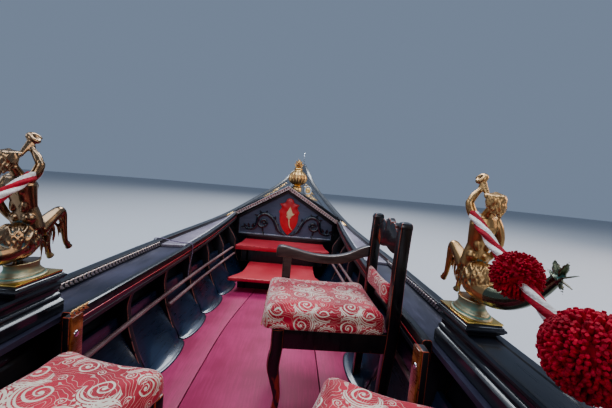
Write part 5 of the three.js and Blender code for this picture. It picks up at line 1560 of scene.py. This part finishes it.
def figureBody(rng):
    bm = newMesh()
    base = figure["base"]

    def at(x, out, z):
        return Vector((x, out, z))

    def limb(points, radii, sides=12, flat=1, facing=None, count=5):
        apart(bm, sweep, curve([at(*p) for p in points], count), radii, sides, flat, facing)

    def lump(p, radii, lean=0):
        apart(bm, ball, at(*p), radii, 18, 12, Matrix.Rotation(lean, 3, "Y") if lean else None)

    turned(bm, flatCurve([(52, base), (53, base + 3), (50, base + 6)], 2) + flatCurve([(45, base + 7), (45, base + 11), (42, base + 13)], 2)
           + flatCurve([(39, base + 17), (35, base + 23), (34, base + 30), (35, base + 37), (38, base + 42)], 3)
           + [(0, base + 44), (0, base), (52, base)], 48, (118, 0, 0), (1.3, 0.86, 1))
    # Beast: rump, breast and belly
    lump((106, 0, 632), (58, 31, 45))
    lump((130, 0, 650), (35, 27, 38), 0.15)
    lump((88, 0, 608), (40, 28, 28))
    lump((150, 0, 650), (28, 24, 30), -0.5)
    limb([(150, -9, 650), (176, -10, 668), (206, -12, 689), (223, -12, 696), (234, -12, 684), (240, -12, 652), (245, -12, 622),
          (250, -12, 602), (258, -12, 592)], [24, 20, 16, 14, 12, 9.5, 8, 7, 9])
    limb([(148, 10, 630), (176, 12, 641), (198, 13, 637), (208, 13, 620), (213, 13, 594), (219, 13, 572)], [21, 17, 13, 11, 8, 7])
    for x, out, z in ((261, -12, 587), (223, 13, 564)):
        apart(bm, sweep, [at(x - 5, out, z + 8), at(x, out, z), at(x + 5, out, z - 6)], [6, 8.5, 10.5], 12)
    # Tail with a rising end
    tail = curve([at(*p) for p in ((112, 0, 620), (56, 0, 606), (0, 6, 612), (-46, 12, 632), (-84, 14, 660), (-108, 15, 684),
                                   (-124, 16, 704))], 8)
    apart(bm, sweep, tail, [32, 30, 26, 21, 17, 14, 12, 10], 14)
    for i, p in enumerate(tail[4:-4]):
        width = 28 - i * 0.42
        for k in range(5):
            a = math.radians(-60 + 60 * k + (i % 2) * 30)
            apart(bm, ball, p + Vector((0, math.cos(a) * width * 0.86 * 0.9, math.sin(a) * width * 0.86)), (4.6, 3.4, 3.4), 6, 4)
    # Trunk: hips, waist, ribs, shoulder blades and shoulders
    limb([(136, 0, 660), (130, 0, 690), (122, 0, 716), (113, 0, 748), (106, 0, 776), (99, 0, 797)], [27, 25, 22, 26, 29, 19], 18,
         1.26, (0, 1, 0))
    for out in (-1, 1):
        lump((92, out * 13, 768), (11, 12, 22), 0.25)
        lump((126, out * 13, 770), (13, 13, 16), 0.2)
        lump((104, out * 13, 726), (10, 9, 24), 0.25)
        lump((116, out * 15, 688), (16, 15, 16))
        lump((103, out * 25, 788), (13, 12, 12))
        for k in range(3):
            lump((140 - k * 4, out * 7, 708 + k * 17), (6, 8, 8))
    limb([(100, 0, 794), (90, 0, 808), (80, 0, 820)], [16, 13, 12])
    # Arms: one raised to hold the horn, one with its hand on the hip
    limb([(106, -24, 789), (113, -33, 806), (116, -39, 826), (115, -39, 833)], [12, 12.5, 11, 9.5])
    limb([(115, -39, 831), (120, -29, 845), (125, -17, 857), (130, -6, 865)], [9.5, 10, 8, 7])
    lump((131, -4, 869), (8.5, 8.5, 8.5))
    for k in range(4):
        limb([(136, -8 + k * 4, 866 + k), (133, -8 + k * 4, 876 + k), (126, -5 + k * 4, 878 + k)], [3.2, 3.2, 2.6], 8)
    limb([(100, 25, 789), (95, 33, 768), (92, 39, 744), (92, 40, 724)], [12.5, 12.5, 10.5, 9])
    limb([(92, 40, 727), (101, 38, 708), (111, 33, 690), (117, 28, 679)], [9, 10, 8, 6.5])
    lump((119, 26, 675), (9, 7, 9))
    # Horn: a coiled shell on a slim ribbed mouthpiece
    limb([(94, 0, 838), (112, 0, 858), (128, 0, 878), (139, 0, 892)], [3.5, 5.5, 7.5, 9])
    for k in range(7):
        ring = at(104 + k * 5, 0, 849 + k * 6)
        apart(bm, ball, ring, (6 + k * 0.6,) * 3, 12, 8)
    coil = [at(142 + math.cos(a) * (16 - a * 1.2), math.sin(a) * (4 + a), 892 + math.sin(a) * (10 - a * 0.5) + a * 0.6)
            for a in (k * 0.4 for k in range(24))]
    apart(bm, sweep, coil, [10, 8, 5.5, 3], 12)
    # Head, calm and turned up, under waved hair
    lump((74, 0, 838), (19, 15.5, 22), -0.3)
    lump((82, 0, 828), (12, 11, 13), -0.2)
    for p, radii in (((93, 0, 838), (4, 2.6, 6)), ((87, 0, 822), (5, 5, 4)), ((90, 0, 829), (2.6, 4.2, 1.5)),
                     ((88, 6, 846), (3, 4.6, 1.8)), ((88, -6, 846), (3, 4.6, 1.8)), ((84, 8, 834), (4.6, 3.4, 5)),
                     ((84, -8, 834), (4.6, 3.4, 5))):
        lump(p, radii)
    for k in range(26):
        a = math.radians(-100 + 200 * k / 25)
        start = at(78 - 5 * math.cos(a), 11 * math.sin(a), 860 - 5 * abs(math.sin(a)))
        sway = rng.uniform(-3, 3)
        length = rng.uniform(52, 74) * (1 - 0.3 * abs(math.sin(a)))
        path = [start]
        for t in (0.25, 0.5, 0.75, 1.0):
            path.append(at(74 - 19 * math.cos(a) - 8 * t + 3 * math.sin(t * 9 + k), (18 + 3 * math.sin(t * 8 + k)) * math.sin(a) + sway,
                           860 - length * t))
        apart(bm, sweep, curve(path, 5), [3.4, 5.6, 5.6, 5, 2.4], 8)
    # Fur: locks that flow down and back over the beast
    for i in range(figure["locks"]):
        around, up = rng.uniform(-math.pi, math.pi), rng.uniform(-0.9, 1.0)
        path = [polar(at(106 - 6 * t, 0, 634 - 8 * t), (59, 32, 48), around + 0.18 * math.sin(i + t * 4), up - t * 0.62)
                for t in (0, 0.25, 0.5, 0.75, 1)]
        apart(bm, sweep, curve(path, 3), [2, 4, 4.4, 3, 1], 6)
    for i in range(26):
        start = at(150 + rng.uniform(0, 66), rng.uniform(-18, 18), 0)
        start.z = 644 + (start.x - 150) * 0.5 + rng.uniform(-14, 8)
        tip = start + Vector((rng.uniform(2, 26), rng.uniform(-4, 4), rng.uniform(-64, -34)))
        middle = (start + tip) / 2 + Vector((8, 0, 6))
        apart(bm, sweep, curve([start, middle, tip], 5), [3, 7, 5.5, 1.5], 8, 0.5)
    # Fins at the tail's end
    fin = leafMesh(66, 34, 5, 4)
    for tilt, size, lean in ((-30, 0.62, 0.5), (20, 0.66, 0.2), (62, 0.7, -0.2), (-75, 0.55, 0.2), (105, 0.6, 0.4), (150, 0.5, 0.1)):
        stamp(bm, fin, Matrix.Translation(at(-124, 18, 702)) @ Matrix.Rotation(math.radians(-90 - tilt), 4, "Y")
              @ Matrix.Rotation(lean, 4, "X") @ Matrix.Scale(size, 4))
    return toMesh(bm, "figure")


def sculpted(name, bm, voxel, entries, choose, replaced, smoothing=2):
    bmesh.ops.recalc_face_normals(bm, faces=bm.faces)
    bmesh.ops.scale(bm, vec=(0.001, 0.001, 0.001), verts=bm.verts)
    mesh = bpy.data.meshes.new(name)
    bm.to_mesh(mesh)
    bm.free()
    made = bpy.data.objects.new(name, mesh)
    scene.collection.objects.link(made)
    remeshed(made, voxel * (1))
    smoother = made.modifiers.new("smooth", "SMOOTH")
    smoother.factor, smoother.iterations = 0.5, smoothing
    applied(made)
    made.data.materials.clear()
    for entry in entries:
        made.data.materials.append(finishes[entry].material)
    indices = [choose(face.center) for face in made.data.polygons]
    made.data.polygons.foreach_set("material_index", indices)
    made.data.shade_smooth()
    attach(made, "boat")
    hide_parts(replaced)
    return made


def figureFinish(p):
    if p.z < (figure["base"] + 42) / 1000:
        return 1
    return 2 if p.x < 0.034 and p.z < 0.76 else 0


figureMesh = figureBody(random.Random(7))
for hand in (1, -1):
    side = titled(hand)
    bm = newMesh()
    stamp(bm, figureMesh, Matrix.Translation((0, hand * figure["middle"], 0)) @ Matrix.Diagonal((1, hand, 1, 1)))
    # the port figure takes the darker brass as painted shade
    sculpted(side + "Figure", bm, figure["voxel"], ("brass" if hand < 0 else "shadedBrass", "patina", "verdigris"),
             figureFinish, "figure_" + side)
    bm = newMesh()
    middle = hand * plinth["middle"]
    box(bm, plinth["from"] + 8, plinth["to"] - 8, middle - 47, middle + 47, plinthTop + 0.2, plinthTop + 5)
    soften(bm, 1.2, 2)
    piece(side + "Plate", bm, "plate", ())
print("figures made")


# Ropes of crimson and white cords, with wool balls, from the figures' necks to the main seat's arms
ropeRow = {
    "radius": 13, "sides": 40, "pitch": 230,
    "route": [(92.2, 561.5, 799.3), (70, 556, 790), (40, 551, 776), (4, 548, 758), (-31, 544, 739), (-75, 541, 719.5),
              (-118, 538, 700.5), (-161, 535, 681.5), (-200, 533.5, 665), (-239, 534.5, 651), (-281, 536, 637.5), (-322, 537.5, 625),
              (-366, 538.8, 611.4), (-410, 541, 602), (-480, 543, 594), (-560, 546, 591), (-650, 549, 593), (-740, 553, 599),
              (-830, 559, 607), (-900, 562, 612), (-975.7, 562, 612)],
    "balls": ((-118, 46, 620), (-288, 63, 1150)),
}


def evenly(points, step):
    fine = curve(points, 12)
    found, left = [fine[0]], step
    for a, b in zip(fine, fine[1:]):
        length = (b - a).length
        while left <= length:
            found.append(a.lerp(b, left / length))
            left += step
        left -= length
    return found + [fine[-1]] if (found[-1] - fine[-1]).length > step * 0.3 else found


def wrapped(bm, verts, sides, step, radius):
    layer = bm.loops.layers.uv.new("weave")
    spot = {v: (i // sides, i % sides) for i, v in enumerate(verts)}
    for f in bm.faces:
        columns = [spot[l.vert][1] for l in f.loops]
        for l in f.loops:
            row, column = spot[l.vert]
            column += sides if max(columns) - column > sides / 2 else 0
            l[layer].uv = (row * step / 1000, column / sides * tau * radius / 1000)
    return spot


def lengthOf(path):
    return sum((b - a).length for a, b in zip(path, path[1:])) / 1000


def ropePiece(hand):
    side = titled(hand)
    step, sides = 5.0, ropeRow["sides"]
    path = evenly([(x, hand * y, z) for x, y, z in ropeRow["route"]], step)
    bm = newMesh()
    verts = sweep(bm, path, ropeRow["radius"], sides, twist=hand * tau * step / ropeRow["pitch"], lobes=4, depth=0.13)
    spot = wrapped(bm, verts, sides, step, ropeRow["radius"])
    for f in bm.faces:
        columns = [spot[v][1] for v in f.verts]
        middle = (min(columns) + (max(columns) if max(columns) - min(columns) < sides / 2 else min(columns) - 1)) / 2
        quarter = int(((middle + sides / 8) % sides) / (sides / 4))
        f.material_index = quarter % 2
    made = piece(side + "Rope", bm, ("wool", "pale"), "rope_" + side, sharper=70)
    return made, path


def tuftMesh(length, width):
    bm = newMesh()
    sweep(bm, curve([(0, 0, 0), (0.6, 0, length * 0.5), (2.2, 0, length)], 2), [width * 0.8, width, width * 0.8], 5)
    return toMesh(bm, "tuft")


tuft = tuftMesh(18, 2.5)


def woolBall(name, node, middle, radius, count, way, seed):
    rng = random.Random(seed)
    bm = newMesh()
    ball(bm, (0, 0, 0), radius - 12, 24, 14)
    count = count
    for i in range(count):
        up = 1 - 2 * (i + 0.5) / count
        a = i * 2.39996
        r = math.sqrt(1 - up * up)
        out = Vector((r * math.cos(a), r * math.sin(a), up))
        if abs(out.dot(way)) > 0.955:
            continue
        out = (out + Vector((rng.gauss(0, 0.13), rng.gauss(0, 0.13), rng.gauss(0, 0.13) - 0.05))).normalized()
        turn = out.to_track_quat("Z", "X").to_matrix().to_4x4() @ Matrix.Rotation(rng.uniform(0, tau), 4, "Z")
        stamp(bm, tuft, Matrix.Translation(out * (radius - 17 + rng.uniform(-1.5, 1.0))) @ turn
              @ Matrix.Diagonal((radius / 46, radius / 46, rng.uniform(0.85, 1.04), 1)))
    return piece(name, bm, "wool", node, at=Matrix.Translation(middle), sharper=80)


for hand in (1, -1):
    side = titled(hand)
    made, path = ropePiece(hand)
    for k, (x, radius, count) in enumerate(ropeRow["balls"]):
        nearest = min(range(len(path)), key=lambda i: abs(path[i].x - x))
        way = (path[nearest + 1] - path[nearest - 1]).normalized()
        number = str(k + 1)
        woolBall(side + "WoolBall" + number, "wool_ball_" + side + "_" + number, path[nearest], radius, count, way, 11 + k)
    tuple(path[0] / 1000)
    lengthOf(path)
    [tuple(p / 1000) for p in path]

lashing = {
    "radius": 3,
    "route": [(1084, 698, 430), (1084, 697.5, 446), (1086, 690, 452.5), (1090, 668, 453.5), (1093, 648, 452.5), (1098, 632, 447),
              (1108, 596, 439), (1118, 560, 433), (1125, 536, 429.5), (1130, 518, 428.5), (1134, 503, 429), (1136, 495, 422),
              (1137, 494, 405), (1137, 494, 366), (1134, 499, 330), (1133, 505, 290), (1134, 508, 262), (1135, 509, 232)],
}
path = evenly(lashing["route"], 2.5)
bm = newMesh()
verts = sweep(bm, path, lashing["radius"], 15, twist=0.32, lobes=3, depth=0.1)
wrapped(bm, verts, 15, 2.5, lashing["radius"])
made = piece("lashingCord", bm, "cotton", "lashing_cord", sharper=70)
tuple(path[0] / 1000)
lengthOf(path)
[tuple(p / 1000) for p in path]
print("cords made")


# A pale floor at the waterline, cut away where the hull passes through it
def waterline(step=80):
    found = []
    for x in spread(-5200, 5200, step):
        if keelAt(x) < 0:
            found.append((x, sideAt(x, shareOf(x, 0)) + 1))
    port = [(x, centre(x) + y, 0) for x, y in found]
    return port + [(x, centre(x) - y, 0) for x, y in reversed(found)]


bm = bmesh.new()
verts, edges = loop(bm, [(p[0] / 1000, p[1] / 1000, 0) for p in waterline()])
grown = bmesh.ops.extrude_edge_only(bm, edges=edges)["geom"]
for vert in (g for g in grown if isinstance(g, bmesh.types.BMVert)):
    vert.co = Vector((vert.co.x * 9, vert.co.y * 60, 0))
mesh = bpy.data.meshes.new("pale")
bm.to_mesh(mesh)
bm.free()
paleFloor = Finish("paleFloor", (0.52, 0.52, 0.53), 0.6)
mesh.materials.append(paleFloor.material)
stage = bpy.data.objects.new("paleFloor", mesh)
scene.collection.objects.link(stage)


def lamp(name, where, size, power, color, target=(0.5, 0, 0.3)):
    light = bpy.data.lights.new(name, "AREA")
    light.shape, light.size, light.size_y, light.energy, light.color = "RECTANGLE", *size, power, color
    holder = bpy.data.objects.new(name, light)
    holder.location = where
    holder.rotation_euler = (Vector(target) - Vector(where)).to_track_quat("-Z", "Y").to_euler()
    scene.collection.objects.link(holder)


lamp("skyAhead", (10, 0, 10), (5, 5), 760, (0.90, 0.95, 1.0))
lamp("skyAbove", (1, 0, 7), (3, 12), 430, (0.76, 0.86, 1.0), (1, 0.001, 0))
lamp("warmSide", (1, -7, 3.2), (7, 3), 160, (1.0, 0.84, 0.72))
lamp("coolSide", (-1, 7, 3.5), (7, 3), 110, (0.84, 0.90, 1.0))
lamp("behind", (-8, 0, 4), (5, 4), 160, (1, 1, 1))
world = bpy.data.worlds.new("studio")
world.use_nodes = True
world.node_tree.nodes["Background"].inputs["Color"].default_value = (0.44, 0.55, 0.74, 1)
world.node_tree.nodes["Background"].inputs["Strength"].default_value = 0.40
scene.world = world
scene.view_settings.look = "AgX - Medium High Contrast"
